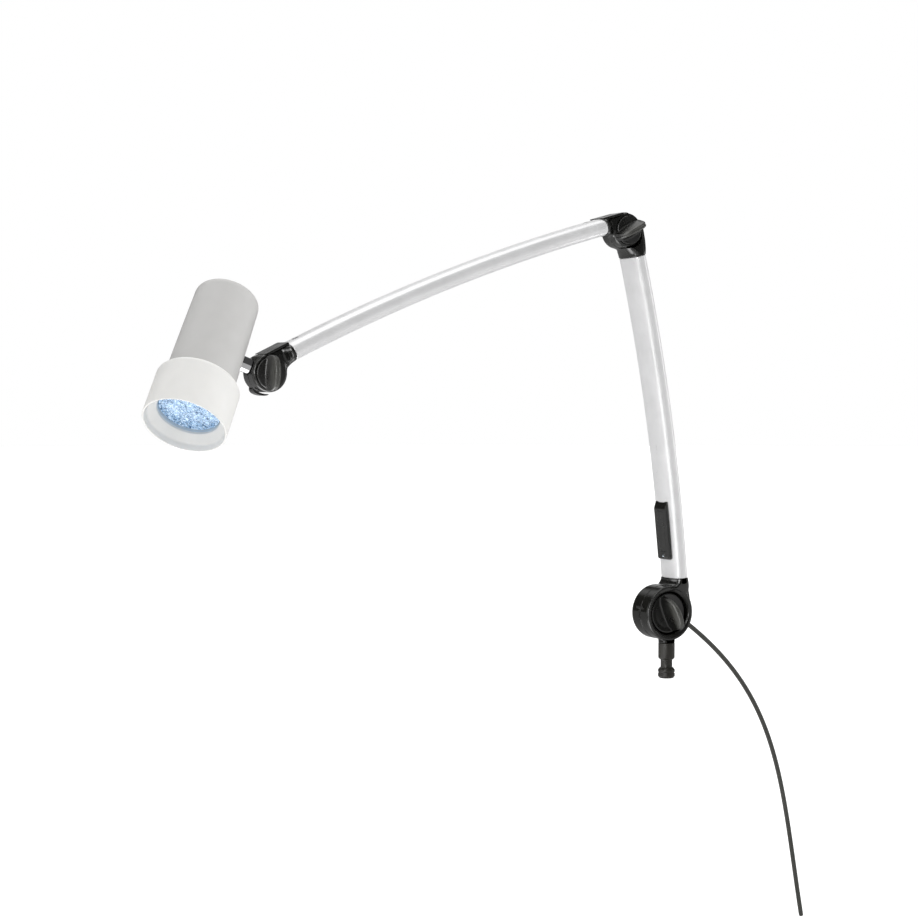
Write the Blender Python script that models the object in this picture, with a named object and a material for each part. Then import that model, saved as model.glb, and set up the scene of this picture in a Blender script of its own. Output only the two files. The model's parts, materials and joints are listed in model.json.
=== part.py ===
# Wall- or rail-mounted examination light: a pivoting two-arm lamp with an LED head.
# Every length below is in millimetres; MM turns it into the scene's metres.
# Axes: +Z up, the arms lie in a vertical plane parallel to XZ, the head hangs on the -X side
# and all the hinge axes run along Y. Front is -Y, where the tension knobs are.
# Origin: centre of the lower end face of the mounting pin.
import math
from collections import namedtuple

import bmesh
import bpy
from mathutils import Matrix, Vector

MM = 0.001

# ---------------------------------------------------------------- driving dimensions
# Points given as pairs are (x, z) in the arm plane.
PIN_SETBACK = 7.0          # arm plane lies this far behind the pin's axis
BASE_PIVOT = (0.0, 65.0)
ELBOW_PIVOT = (-51.2, 442.6)
HEAD_PIVOT = (-432.6, 303.5)
HEAD_CENTRE = (-484.8, 323.9)          # where the stem's axis meets the head's axis
HEAD_AXIS = (-0.468, -0.427, -0.7735)  # from the back to the light opening
GAP = 0.3                  # clearance between touching pieces
FACETS = 0.52              # scales how finely turned pieces are divided

# Arms: both tubes are rolled to the same gentle curve.
# start and end are degrees round the bend centre; origin is the joint the arm turns on.
Arm = namedtuple("Arm", "name centre start end origin")
LOWER_ARM = Arm("lower_arm", (-1976.6, -67.1), 4.79, 14.05, BASE_PIVOT)
UPPER_ARM = Arm("upper_arm", (443.9, -1483.9), 105.17, 115.32, ELBOW_PIVOT)
START, END = 1, -1         # a tube's two ends, as the sense of angle that leads into the tube
ARM_BEND_RADIUS = 1998.0
TUBE_HALF_THICK = 8.5      # in the bending plane
TUBE_HALF_WIDE = 17.0      # along the hinge axes
TUBE_WALL = 1.8
OVAL = 2.5                 # exponent of the tube's flat-oval section
NECK_HALF_THICK = 8.9      # cap's neck where it meets the tube

# Base and hinges
PIN_R = 8.2
PIN_TOP = 35.3
BASE_R = 27.0
BASE_SPLIT = 1.15          # base hub and arm cup part this far behind the arm plane
CUP_R = 23.3               # the arm's cup turns inside the base hub
LIP = 11.6                 # rear face of the cup's lip, which covers the front of the hub
RECESS_R = 21.5            # open bowl in the arm's cup, where the tension knob sits
HUB_R = 16.8               # elbow and head hinges
STEM_R = 7.0
SHADE_R = 37.1

# Principled shader: base colour, roughness, metallic
PALETTE = {
    "black_plastic": ((0.022, 0.022, 0.020), 0.42, 0.0),
    "black_gloss": ((0.015, 0.015, 0.014), 0.25, 0.0),
    "anodised": ((0.70, 0.71, 0.72), 0.35, 0.9),
    "light_grey": ((0.62, 0.62, 0.60), 0.45, 0.0),
    "off_white": ((0.80, 0.80, 0.78), 0.45, 0.0),
    "chrome": ((0.80, 0.80, 0.80), 0.08, 1.0),
    "steel": ((0.45, 0.45, 0.46), 0.35, 1.0),
    "aluminium": ((0.65, 0.66, 0.67), 0.45, 1.0),
    "clear": ((0.70, 0.84, 1.00), 0.05, 0.0),
    "board": ((0.02, 0.16, 0.06), 0.5, 0.0),
    "led": ((0.95, 0.85, 0.35), 0.4, 0.0),
    "cable": ((0.07, 0.07, 0.065), 0.55, 0.0),
    "brass": ((0.70, 0.50, 0.20), 0.35, 1.0),
    "fibre": ((0.30, 0.22, 0.15), 0.8, 0.0),
}


# ---------------------------------------------------------------- scene, frame and materials
def make_material(name, colour, roughness, metallic):
    material = bpy.data.materials.new(name)
    material.use_nodes = True
    inputs = material.node_tree.nodes["Principled BSDF"].inputs
    inputs["Base Color"].default_value = (*colour, 1.0)
    inputs["Roughness"].default_value = roughness
    inputs["Metallic"].default_value = metallic
    return material


for old in list(bpy.data.objects):
    bpy.data.objects.remove(old, do_unlink=True)

ROOT = bpy.data.objects.new("lamp_frame", None)
ROOT.location = (0.0, PIN_SETBACK * MM, 0.0)
bpy.context.scene.collection.objects.link(ROOT)
MATERIALS = {name: make_material(name, *look) for name, look in PALETTE.items()}


# ---------------------------------------------------------------- points and frames
def point(x, y, z):
    return Vector((x * MM, y * MM, z * MM))


def in_plane(pair):
    """(x, z) pair as a point or direction in the arm plane."""
    return (pair[0], 0.0, pair[1])


def polar(degrees):
    """Cosine and sine."""
    angle = math.radians(degrees)
    return math.cos(angle), math.sin(angle)


def span(half):
    return (-half, half)


def axis_frame(origin, axis, side=None):
    """Matrix whose Z runs along axis and X towards side, at origin (mm)."""
    z = Vector(axis).normalized()
    if side is None:
        side = (0, 0, 1) if abs(z.z) < 0.9 else (1, 0, 0)
    side = Vector(side)
    x = (side - z * side.dot(z)).normalized()
    y = z.cross(x)
    frame = Matrix((x, y, z)).transposed().to_4x4()
    frame.translation = point(*origin)
    return frame


def hub_frame(pivot):
    """Z runs along -Y, so heights in a hub's outline are distances in front of the arm plane."""
    return axis_frame(in_plane(pivot), (0, -1, 0), (1, 0, 0))


def shifted(frame, x, y):
    moved = frame.copy()
    moved.translation = frame @ point(x, y, 0.0)
    return moved


def arc_point(centre, degrees):
    c, s = polar(degrees)
    return centre[0] + ARM_BEND_RADIUS * c, centre[1] + ARM_BEND_RADIUS * s


def arc_frame(centre, degrees):
    """Point on the bend, direction of growing angle and outward normal, as (x, z) pairs."""
    c, s = polar(degrees)
    return arc_point(centre, degrees), (-s, c), (c, s)


def end_angle(arm, end):
    return arm.start if end == START else arm.end


# ---------------------------------------------------------------- pieces and booleans
def piece(name, bm, material=None, origin=(0.0, 0.0)):
    """Makes an object of a closed bmesh, with its origin at an (x, z) point of the arm plane."""
    bmesh.ops.remove_doubles(bm, verts=bm.verts, dist=1e-7)
    bmesh.ops.recalc_face_normals(bm, faces=bm.faces)
    mesh = bpy.data.meshes.new(name)
    bm.to_mesh(mesh)
    bm.free()
    mesh.shade_smooth()
    mesh.set_sharp_from_angle(angle=math.radians(35))
    if material:
        mesh.materials.append(MATERIALS[material])
    place = point(*in_plane(origin))
    mesh.transform(Matrix.Translation(-place))
    obj = bpy.data.objects.new(name, mesh)
    bpy.context.scene.collection.objects.link(obj)
    obj.location = place
    obj.parent = ROOT
    return obj


def combine(target, name, bm, operation, solver):
    """Makes a hidden helper of bm, adds its boolean to target and returns the helper."""
    helper = piece("tool_" + name, bm)
    helper.hide_render = True
    helper.display_type = "WIRE"
    modifier = target.modifiers.new(operation.lower(), "BOOLEAN")
    modifier.operation = operation
    modifier.solver = solver
    modifier.object = helper
    return helper


def cut(target, name, bm):
    return combine(target, name, bm, "DIFFERENCE", "EXACT")


def join(target, name, bm, solver="EXACT"):
    return combine(target, name, bm, "UNION", solver)


# ---------------------------------------------------------------- shapes
def sleeve(inner, outer, low, high):
    """Rectangular outline for turned(); a solid disc when inner is 0."""
    return [(inner, low), (outer, low), (outer, high), (inner, high)]


def turned(outline, steps, frame):
    """Spins a closed (radius, height) outline round the frame's Z."""
    bm = bmesh.new()
    verts = [bm.verts.new((radius * MM, 0.0, height * MM)) for radius, height in outline]
    edges = []
    for i, vert in enumerate(verts):
        j = (i + 1) % len(verts)
        if outline[i][0] > 0 or outline[j][0] > 0:   # an edge on the axis would sweep nothing
            edges.append(bm.edges.new((vert, verts[j])))
    bmesh.ops.spin(bm, geom=verts + edges, cent=(0, 0, 0), axis=(0, 0, 1), dvec=(0, 0, 0),
                   angle=math.tau, steps=max(10, round(steps * FACETS)), use_merge=True)
    bmesh.ops.remove_doubles(bm, verts=bm.verts, dist=1e-7)
    bm.transform(frame)
    return bm


def turned_piece(name, outline, steps, frame, material, origin=(0.0, 0.0)):
    return piece(name, turned(outline, steps, frame), material, origin)


def loft(rings, closed=False):
    """Skins equal-length rings of points (mm); caps the ends unless it closes on itself."""
    bm = bmesh.new()
    rows = [[bm.verts.new(point(*p)) for p in ring] for ring in rings]
    count = len(rows[0])
    pairs = list(zip(rows, rows[1:]))
    if closed:
        pairs.append((rows[-1], rows[0]))
    for row, following in pairs:
        for i in range(count):
            j = (i + 1) % count
            bm.faces.new((row[i], row[j], following[j], following[i]))
    if not closed:
        bm.faces.new(rows[0])
        bm.faces.new(list(reversed(rows[-1])))
    return bm


def oval(half_x, half_y, steps, power=OVAL):
    """Points of a superellipse."""
    points = []
    for k in range(steps):
        angle = math.tau * k / steps
        c, s = math.cos(angle), math.sin(angle)
        points.append((half_x * math.copysign(abs(c) ** (2 / power), c),
                       half_y * math.copysign(abs(s) ** (2 / power), s)))
    return points


def arc_rings(centre, start, end, steps, half_thick, half_wide, around, power=OVAL):
    """Oval sections along a bend, from one angle to another."""
    rings = []
    for k in range(steps + 1):
        degrees = start + (end - start) * k / steps
        c, s = polar(degrees)
        mid_x, mid_z = arc_point(centre, degrees)
        rings.append([(mid_x + x * c, y, mid_z + x * s)
                      for x, y in oval(half_thick, half_wide, around, power)])
    return rings


def block(frame, x, y, z, bevel=0.0):
    """Box between (x0, x1), (y0, y1), (z0, z1) in a frame, with its edges bevelled."""
    bm = bmesh.new()
    bmesh.ops.create_cube(bm, size=1.0)
    for vert in bm.verts:
        vert.co = point(*(limits[0] if value < 0 else limits[1]
                          for value, limits in zip(vert.co, (x, y, z))))
    if bevel:
        bmesh.ops.bevel(bm, geom=list(bm.edges), offset=bevel * MM, segments=1, affect="EDGES")
    bm.transform(frame)
    return bm


def swept(points, radius, around):
    """Round cord through the points (mm)."""
    rings = []
    ref = Vector((0, 1, 0))
    for i, p in enumerate(points):
        before = Vector(points[max(i - 1, 0)])
        after = Vector(points[min(i + 1, len(points) - 1)])
        tangent = (after - before).normalized()
        x = (ref - tangent * ref.dot(tangent)).normalized()
        y = tangent.cross(x)
        angles = [math.tau * k / around for k in range(around)]
        rings.append([tuple(Vector(p) + x * (radius * math.cos(angle))
                            + y * (radius * math.sin(angle))) for angle in angles])
    return loft(rings)


# ---------------------------------------------------------------- tubes and their ends
def arm_tube(arm):
    def wall(start, end, inset):
        return arc_rings(arm.centre, start, end, 7, TUBE_HALF_THICK - inset,
                         TUBE_HALF_WIDE - inset, 22)

    rings = wall(arm.start, arm.end, 0.0) + wall(arm.end, arm.start, TUBE_WALL)
    return piece(f"{arm.name}_tube", loft(rings, closed=True), "anodised", arm.origin)


def arm_wire(arm):
    """Wire down the middle of the tube, a little short of it at both ends."""
    inset, steps = 0.03, 8   # degrees, divisions
    run = arm.end - arm.start - 2 * inset
    path = [in_plane(arc_point(arm.centre, arm.start + inset + run * k / steps))
            for k in range(steps + 1)]
    piece(f"{arm.name}_wire", swept(path, 1.5, 6), "cable", arm.origin)


def tube_screw(arm, end, tube, cap):
    """Countersunk screw through the tube's outer face into the cap's plug."""
    name = f"{arm.name}_screw_{1 if end == START else 2}"
    place, _, outward = arc_frame(arm.centre, end_angle(arm, end) + end * 0.34)
    frame = axis_frame(in_plane(place), in_plane(outward), (0, 1, 0))
    clearance = [(0, 4), (1.9, 4), (1.9, 6.9), (3.3, 8.3), (3.3, 12), (0, 12)]
    screw = [(0, 3.8), (1.5, 3.8), (1.5, 6.9), (2.9, 8.25), (2.9, 8.45), (0, 8.45)]
    cut(tube, "ta_" + name, turned(clearance, 16, frame))
    cut(cap, "tb_" + name, turned(sleeve(0, 1.8, 2, 9), 16, frame))
    turned_piece(name, screw, 16, frame, "steel", arm.origin)


def neck(sections, arm, end):
    """Lofts a cap's neck away from the tube's end.

    sections: distance from the tube's end, then the outer, inner, front and rear limits
    and the exponent of the oval.
    """
    start, along, outward = arc_frame(arm.centre, end_angle(arm, end))
    rings = []
    for distance, outer, inner, front, rear, power in sections:
        away = -end * distance
        ring = []
        for x, y in oval((outer - inner) / 2, (rear - front) / 2, 22, power):
            out = (outer + inner) / 2 + x
            ring.append((start[0] + along[0] * away + outward[0] * out, (front + rear) / 2 + y,
                         start[1] + along[1] * away + outward[1] * out))
        rings.append(ring)
    return loft(rings)


def add_plug(cap, arm, end, plug_name, channel_name):
    """Adds the hollow plug that fits inside the tube; its reaches are in degrees of bend."""
    angle = end_angle(arm, end)
    plug_span = sorted(angle + end * reach for reach in (-0.06, 0.62))
    channel_span = sorted(angle + end * reach for reach in (0.0, 0.8))
    inset = TUBE_WALL + GAP
    plug = join(cap, plug_name, loft(arc_rings(
        arm.centre, *plug_span, 2, TUBE_HALF_THICK - inset, TUBE_HALF_WIDE - inset, 16)))
    cut(plug, channel_name, loft(arc_rings(arm.centre, *channel_span, 2, 3.4, 9.0, 12, 3.0)))


# ---------------------------------------------------------------- small hinges
# Outlines are (radius, height). The front half belongs to the upper arm; the rear half
# belongs to the lower arm at the elbow and to the head hinge at the head.
FRONT_OUTLINE = [
    (3.3, 0.2), (HUB_R - 0.4, 0.2), (HUB_R, 0.6), (HUB_R, 9.9), (HUB_R - 0.8, 11.0),
    (HUB_R - 2.0, 11.4), (3.3, 11.4)]
REAR_OUTLINE = [
    (3.3, -1.5), (12.3, -1.5), (12.3, -0.2), (HUB_R - 0.4, -0.2), (HUB_R, -0.6),
    (HUB_R, -10.2), (HUB_R - 1.2, -11.4), (7.0, -11.4), (7.0, -7.0), (3.3, -7.0)]
REAR_BORE = [(0, -20), (7.1, -20), (7.1, -6.9), (3.4, -6.9), (3.4, -1.6), (12.4, -1.6),
             (12.4, 5), (0, 5)]
AXLE_OUTLINE = [(0, 15.4), (2.5, 15.4), (3.0, 14.9), (3.0, -7.3), (6.5, -7.3), (6.5, -10.4),
                (2.4, -10.4), (2.4, -8.6), (0, -8.6)]
# Each half: its outline, its bore and the room taken by the other half.
FRONT_HALF = (FRONT_OUTLINE, sleeve(0, 3.4, -9, 15), sleeve(0, HUB_R + 0.4, -40, 0.27))
REAR_HALF = (REAR_OUTLINE, REAR_BORE, sleeve(0, HUB_R + 0.4, -0.27, 40))


def hinge_sections(length, outer):
    """Outer side straight, inner side flaring into the hub, sides drawn in to its width."""
    half = NECK_HALF_THICK
    return [
        (0.3, half, -half, -17.3, 17.3, 2.5),
        (2.4, half, -half, -17.2, 17.2, 2.7),
        (length * 0.20, (half + outer) / 2, -half - 0.9, -14.4, 14.4, 3.0),
        (length * 0.32, outer, -half - 2.6, -11.2, 11.2, 3.4),
        (length * 0.46, outer, -half - 5.2, -10.9, 10.9, 4.0),
        (length * 0.80, outer, -half - 5.0, -10.8, 10.8, 4.5),
        (length * 1.08, outer, -half + 4.0, -10.6, 10.6, 5.0)]


def hinge_cap(joint, pivot, arm, end, sections, half):
    """Half of a small hinge, blended into the plug of its tube."""
    name = f"{arm.name}_{joint}_cap"
    frame = hub_frame(pivot)
    outline, bore, other = half
    cap = turned_piece(name, outline, 36, frame, "black_plastic", arm.origin)
    # the neck's faces run close to the hub's, which needs this solver
    shape = join(cap, "neck_" + name, neck(sections, arm, end), "MANIFOLD")
    cut(shape, "other_" + name, turned(other, 36, frame))
    cut(shape, "bore_" + name, turned(bore, 36, frame))
    add_plug(cap, arm, end, "spigot_" + name, "channel_" + name)
    return cap


def hinge_inside(joint, pivot, origin):
    """Axle and friction disc of a small hinge."""
    frame = hub_frame(pivot)
    turned_piece(f"{joint}_axle", AXLE_OUTLINE, 20, frame, "steel", origin)
    turned_piece(f"{joint}_friction_disc", sleeve(4.2, 12.0, -0.1, -1.2), 28, frame, "fibre",
                 origin)


# ---------------------------------------------------------------- tension knobs
FIN_CREST = 2.6            # half thickness towards the crest
# fraction of the fin's height, factor on its thickness
FIN_STATIONS = [(0.0, 1.0), (0.12, 1.0), (0.28, 1.0), (0.48, 1.0), (0.68, 1.0), (0.83, 1.0),
                (0.93, 0.82), (0.985, 0.5)]
BASE_KNOB = dict(
    outline=[(0, 5.4), (19.0, 5.4), (19.8, 6.2), (19.8, 9.0), (19.0, 9.8), (15.0, 8.6),
             (0, 8.3)],
    half_length=18.4, low=7.4, high=30.2, root=5.0, bore=sleeve(0, 4.3, 0, 10.1))
SMALL_KNOB = dict(
    outline=[(0, 11.7), (13.6, 11.7), (14.2, 12.3), (14.2, 13.1), (13.4, 13.9), (12.0, 14.2),
             (0, 14.5)],
    half_length=16.1, low=13.3, high=28.2, root=6.8, bore=sleeve(0, 3.3, 0, 15.8))


def tension_knob(joint, pivot, degrees, outline, half_length, low, high, root, bore):
    """Round knob with a pinch fin across it.

    The fin is root thick (half) at its foot and thins towards its rounded crest.
    """
    name = f"{joint}_tension_knob"
    frame = hub_frame(pivot)
    knob = turned_piece(name, outline, 32, frame, "black_plastic", pivot)
    c, s = polar(degrees)
    rings = []
    for t, factor in FIN_STATIONS:
        reach = half_length * (1 - t ** 2.6) ** (1 / 2.6)
        width = (FIN_CREST + (root - FIN_CREST) * (1 - t) ** 1.7) * factor
        rings.append([(pivot[0] + x * c - y * s, -(low + (high - low) * t),
                       pivot[1] + x * s + y * c) for x, y in oval(reach, width, 20, 2.1)])
    join(knob, "fin_" + name, loft(rings))
    cut(knob, "bore_" + name, turned(bore, 20, frame))


# ---------------------------------------------------------------- base
PIN_FRAME = axis_frame((0.0, -PIN_SETBACK, 0.0), (0, 0, 1), (1, 0, 0))
BASE_FRAME = hub_frame(BASE_PIVOT)
PIN_OUTLINE = [
    (0, 0), (6.6, 0), (7.6, 0.6), (8.4, 2.0), (8.4, 4.6), (7.9, 5.1), (7.9, 5.7), (8.4, 6.2),
    (8.4, 8.2), (7.4, 9.6), (5.85, 10.6), (5.85, 18.2), (7.2, 19.2), (PIN_R, 20.2),
    (PIN_R, PIN_TOP), (0, PIN_TOP)]
BASE_HUB_OUTLINE = [
    (4.3, -BASE_SPLIT - 1.5), (20.3, -BASE_SPLIT - 1.5), (20.3, -BASE_SPLIT - 0.2),
    (CUP_R + GAP, -BASE_SPLIT - 0.2), (CUP_R + GAP, LIP - GAP), (26.6, LIP - GAP),
    (BASE_R, LIP - 0.7), (BASE_R, 0.8), (26.5, 0.4), (26.5, -0.6), (BASE_R, -1.0),
    (BASE_R, -13.4), (26.4, -14.0), (22.0, -14.0), (22.0, -BASE_SPLIT - 4.5),
    (4.3, -BASE_SPLIT - 4.5)]
RING_ROOM_OUTLINE = [
    (0, -BASE_SPLIT - 0.1), (CUP_R + 0.25, -BASE_SPLIT - 0.1), (CUP_R + 0.25, LIP - 0.25),
    (27.4, LIP - 0.25), (27.4, 30), (0, 30)]
BACK_COVER_OUTLINE = [
    (0, -15.9), (25.6, -15.9), (26.6, -15.4), (26.9, -14.3), (21.7, -14.3), (21.7, -11.6),
    (19.7, -11.6), (19.7, -13.6), (0, -13.6)]
BASE_AXLE_OUTLINE = [
    (0, 9.7), (3.4, 9.7), (4.0, 9.1), (4.0, -BASE_SPLIT - 4.8), (8.0, -BASE_SPLIT - 4.8),
    (8.0, -10.2), (3.0, -10.2), (3.0, -8.2), (0, -8.2)]

CORD_Y = 8.0               # the cord leaves the hub in this plane, behind the arm plane
# (x, z) control points of the cord's cubic Bezier curve
CORD_CONTROLS = ((22.8, 59.8), (158.5, -29.8), (158.4, -120.3), (188.0, -269.5))
CORD_EXIT = axis_frame(
    (CORD_CONTROLS[0][0], CORD_Y, CORD_CONTROLS[0][1]),
    Vector(in_plane(CORD_CONTROLS[1])) - Vector(in_plane(CORD_CONTROLS[0])), (0, 1, 0))
GROMMET_OUTLINE = [(2.8, 0.5), (3.3, 0.5), (3.3, 6.6), (4.8, 6.6), (4.8, 8.0), (3.7, 11.5),
                   (2.8, 11.5)]


def base_hub():
    """Hub with a boss down to the pin, room for the arm's cup and a hole for the cord."""
    hub = turned_piece("base_hub", BASE_HUB_OUTLINE, 48, BASE_FRAME, "black_gloss")
    join(hub, "boss", turned(sleeve(0, PIN_R, PIN_TOP + GAP, 40.5), 32, PIN_FRAME))
    cut(hub, "ring_room", turned(RING_ROOM_OUTLINE, 48, BASE_FRAME))
    cut(hub, "cable_hole", turned(sleeve(0, 3.6, -5, 20), 20, CORD_EXIT))


def power_cable():
    """Supply cord falling in an easy curve."""
    steps = 20
    path = []
    for k in range(steps + 1):
        t = k / steps
        weights = ((1 - t) ** 3, 3 * t * (1 - t) ** 2, 3 * t * t * (1 - t), t ** 3)
        x, z = (sum(w * p[axis] for w, p in zip(weights, CORD_CONTROLS)) for axis in (0, 1))
        path.append((x, CORD_Y, z))
    piece("power_cable", swept(path, 2.35, 8), "cable")


def build_base():
    turned_piece("mounting_pin", PIN_OUTLINE, 32, PIN_FRAME, "black_plastic")
    base_hub()
    disc = sleeve(6.0, 20.0, -BASE_SPLIT - 0.1, -BASE_SPLIT - 1.2)
    spring = [(4.5, 4.3), (4.5, 5.1), (10.5, 4.1), (10.5, 3.3)]
    for name, outline, steps, material in (
            ("base_back_cover", BACK_COVER_OUTLINE, 40, "black_gloss"),
            ("base_axle", BASE_AXLE_OUTLINE, 24, "steel"),
            ("base_friction_disc", disc, 32, "fibre"),
            ("base_disc_spring", spring, 28, "steel")):
        turned_piece(name, outline, steps, BASE_FRAME, material)
    power_cable()
    turned_piece("cable_grommet", GROMMET_OUTLINE, 20, CORD_EXIT, "black_plastic")


# ---------------------------------------------------------------- lower arm
CUP_OUTLINE = [
    (0, -BASE_SPLIT + 0.2), (CUP_R - 0.4, -BASE_SPLIT + 0.2), (CUP_R, -BASE_SPLIT + 0.6),
    (CUP_R, LIP), (26.6, LIP), (BASE_R, LIP + 0.3), (BASE_R, 12.5), (26.4, 13.2),
    (25.2, 13.5), (0, 13.5)]
RECESS_OUTLINE = [(0, 3.0), (RECESS_R, 3.0), (RECESS_R, 11.4), (RECESS_R + 2.4, 13.8),
                  (RECESS_R + 2.4, 40), (0, 40)]
# distance from the tube's end, growth of the outer and of the inner side beyond
# NECK_HALF_THICK, front y, rear y, exponent of the oval
BASE_NECK = [
    (0.3, 0.0, 0.0, -17.3, 17.3, 2.5), (3.0, 0.2, 0.5, -17.3, 17.3, 2.7),
    (5.2, 0.4, 1.9, -17.1, 17.2, 3.0), (7.2, 0.6, 4.2, -16.6, 17.1, 3.4),
    (9.4, 0.8, 8.0, -15.9, 17.0, 4.0), (13.0, 1.1, 12.0, -14.9, 17.0, 4.0),
    (20.0, 1.8, 12.0, -13.5, 17.0, 5.0), (30.0, 2.4, 12.0, -13.1, 17.0, 5.0)]


def lower_arm_base_cap():
    """Cup that turns in the base hub, with its neck and plug."""
    cap = turned_piece("lower_arm_base_cap", CUP_OUTLINE, 48, BASE_FRAME, "black_plastic",
                       BASE_PIVOT)
    sections = [(distance, NECK_HALF_THICK + outer, -NECK_HALF_THICK - inner, *rest)
                for distance, outer, inner, *rest in BASE_NECK]
    shape = join(cap, "base_neck", neck(sections, LOWER_ARM, START))
    cut(shape, "base_rear_room", turned(sleeve(0, 27.4, -40, LIP + 0.07), 48, BASE_FRAME))
    add_plug(cap, LOWER_ARM, START, "base_spigot", "base_channel")
    cut(cap, "base_recess", turned(RECESS_OUTLINE, 48, BASE_FRAME))
    cut(cap, "base_bore", turned(sleeve(0, 4.3, -9, 9), 24, BASE_FRAME))
    return cap


SWITCH_ANGLE = 6.17        # degrees round the lower arm's bend
SWITCH_HALF_LENGTH = 29.0
WINDOW_HALF = (6.4, 22.4)  # opening in the tube: half width, half length
POCKET_HALF = (4.9, 20.6)  # pocket in the housing, likewise
LAMP_OFFSET = -25.2        # indicator lens, along the arm from the module's middle


def switch_module(tube):
    """Switch module let into the inner face of the lower tube's bend."""
    centre, along, outward = arc_frame(LOWER_ARM.centre, SWITCH_ANGLE)
    inward = (-outward[0], 0.0, -outward[1])
    # x: out of the tube's inner face, y: along -Y, z: up the arm
    frame = axis_frame(in_plane(centre), in_plane(along), inward)
    lamp_place = Vector(in_plane(centre)) + Vector(in_plane(along)) * LAMP_OFFSET
    lamp_frame = axis_frame(lamp_place, inward)

    def box(x, halves, inset=0.0, bevel=0.0):
        return block(frame, x, span(halves[0] - inset), span(halves[1] - inset), bevel)

    cut(tube, "window", box((0.0, 14.0), WINDOW_HALF))

    housing = piece("switch_housing", box((4.0, 11.9), (9.6, SWITCH_HALF_LENGTH), bevel=1.1),
                    "black_plastic", BASE_PIVOT)
    cut(housing, "around_tube", loft(arc_rings(
        LOWER_ARM.centre, SWITCH_ANGLE - 1.2, SWITCH_ANGLE + 1.2, 3,
        TUBE_HALF_THICK + GAP, TUBE_HALF_WIDE + GAP, 28)))
    join(housing, "well", box((2.6, 9.6), WINDOW_HALF, GAP))
    cut(housing, "pocket", box((3.8, 20.0), POCKET_HALF))
    cut(housing, "lamp_hole", turned(sleeve(0, 1.7, 5, 20), 16, lamp_frame))

    lens = [(0, 9.9), (1.4, 9.9), (1.4, 11.9), (1.0, 12.2), (0, 12.3)]
    turned_piece("indicator_lens", lens, 16, lamp_frame, "clear", BASE_PIVOT)
    piece("switch_board", box((4.1, 5.3), POCKET_HALF, GAP), "board", BASE_PIVOT)
    piece("micro_switch", box((5.6, 8.2), (3.0, 3.5), bevel=0.3), "steel", BASE_PIVOT)
    button_origin = (centre[0] - outward[0] * 11.0, centre[1] - outward[1] * 11.0)
    piece("switch_button", box((9.3, 12.5), POCKET_HALF, GAP, 0.6), "black_plastic",
          button_origin)


def build_lower_arm():
    tube = arm_tube(LOWER_ARM)
    base_cap = lower_arm_base_cap()
    elbow_cap = hinge_cap("elbow", ELBOW_PIVOT, LOWER_ARM, END, hinge_sections(27.0, 8.5),
                          REAR_HALF)
    hinge_inside("elbow", ELBOW_PIVOT, BASE_PIVOT)
    switch_module(tube)
    arm_wire(LOWER_ARM)
    tube_screw(LOWER_ARM, START, tube, base_cap)
    tube_screw(LOWER_ARM, END, tube, elbow_cap)


# ---------------------------------------------------------------- upper arm
def build_upper_arm():
    tube = arm_tube(UPPER_ARM)
    elbow_cap = hinge_cap("elbow", ELBOW_PIVOT, UPPER_ARM, START, hinge_sections(28.5, 9.0),
                          FRONT_HALF)
    head_cap = hinge_cap("head", HEAD_PIVOT, UPPER_ARM, END, hinge_sections(27.8, 10.0),
                         FRONT_HALF)
    arm_wire(UPPER_ARM)
    tube_screw(UPPER_ARM, START, tube, elbow_cap)
    tube_screw(UPPER_ARM, END, tube, head_cap)


# ---------------------------------------------------------------- head hinge and stem
STEM_RUN = Vector(in_plane(HEAD_CENTRE)) - Vector(in_plane(HEAD_PIVOT))
STEM_LENGTH = STEM_RUN.length
STEM_FRAME = axis_frame(in_plane(HEAD_PIVOT), STEM_RUN, (0, 1, 0))
STEM_OUTLINE = [
    (3.2, 13.2), (STEM_R, 13.2), (STEM_R, STEM_LENGTH + 8.4),
    (STEM_R - 0.6, STEM_LENGTH + 9.0), (3.2, STEM_LENGTH + 9.0)]
# degrees round the head pivot, inner radius, outer radius
LUG_STATIONS = [
    (-131, 15.6, 17.6), (-126, 15.6, 19.2), (-119, 15.8, 19.9), (-112, 17.3, 20.0),
    (-103, 17.7, 20.0), (-94, 18.0, 20.0), (-86, 18.4, 19.9), (-79, 18.9, 19.7)]
LUG_FRONT, LUG_REAR = 1.6, 10.6   # y of the lug's faces


def stop_lug():
    """Lug below the hinge, joined to it at one end."""
    rings = []
    for degrees, inner, outer in LUG_STATIONS:
        c, s = polar(degrees)
        corners = ((inner, LUG_FRONT), (outer, LUG_FRONT), (outer, LUG_REAR), (inner, LUG_REAR))
        rings.append([(HEAD_PIVOT[0] + radius * c, y, HEAD_PIVOT[1] + radius * s)
                      for radius, y in corners])
    return loft(rings)


def build_head_hinge():
    hinge = turned_piece("head_hinge", REAR_OUTLINE, 36, hub_frame(HEAD_PIVOT),
                         "black_plastic", HEAD_PIVOT)
    join(hinge, "lug", stop_lug())
    cut(hinge, "stem_pocket", turned(sleeve(0, STEM_R + GAP, 12.9, 30), 28, STEM_FRAME))
    stem = turned_piece("head_stem", STEM_OUTLINE, 28, STEM_FRAME, "chrome", HEAD_PIVOT)
    # the front half of the stem's root is milled away to clear the arm's half of the hinge
    cut(stem, "stem_mill", block(STEM_FRAME, (-20.0, 0.5), (-20.0, 20.0), (5.0, HUB_R + 0.6)))
    hinge_inside("head", HEAD_PIVOT, HEAD_PIVOT)


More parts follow.
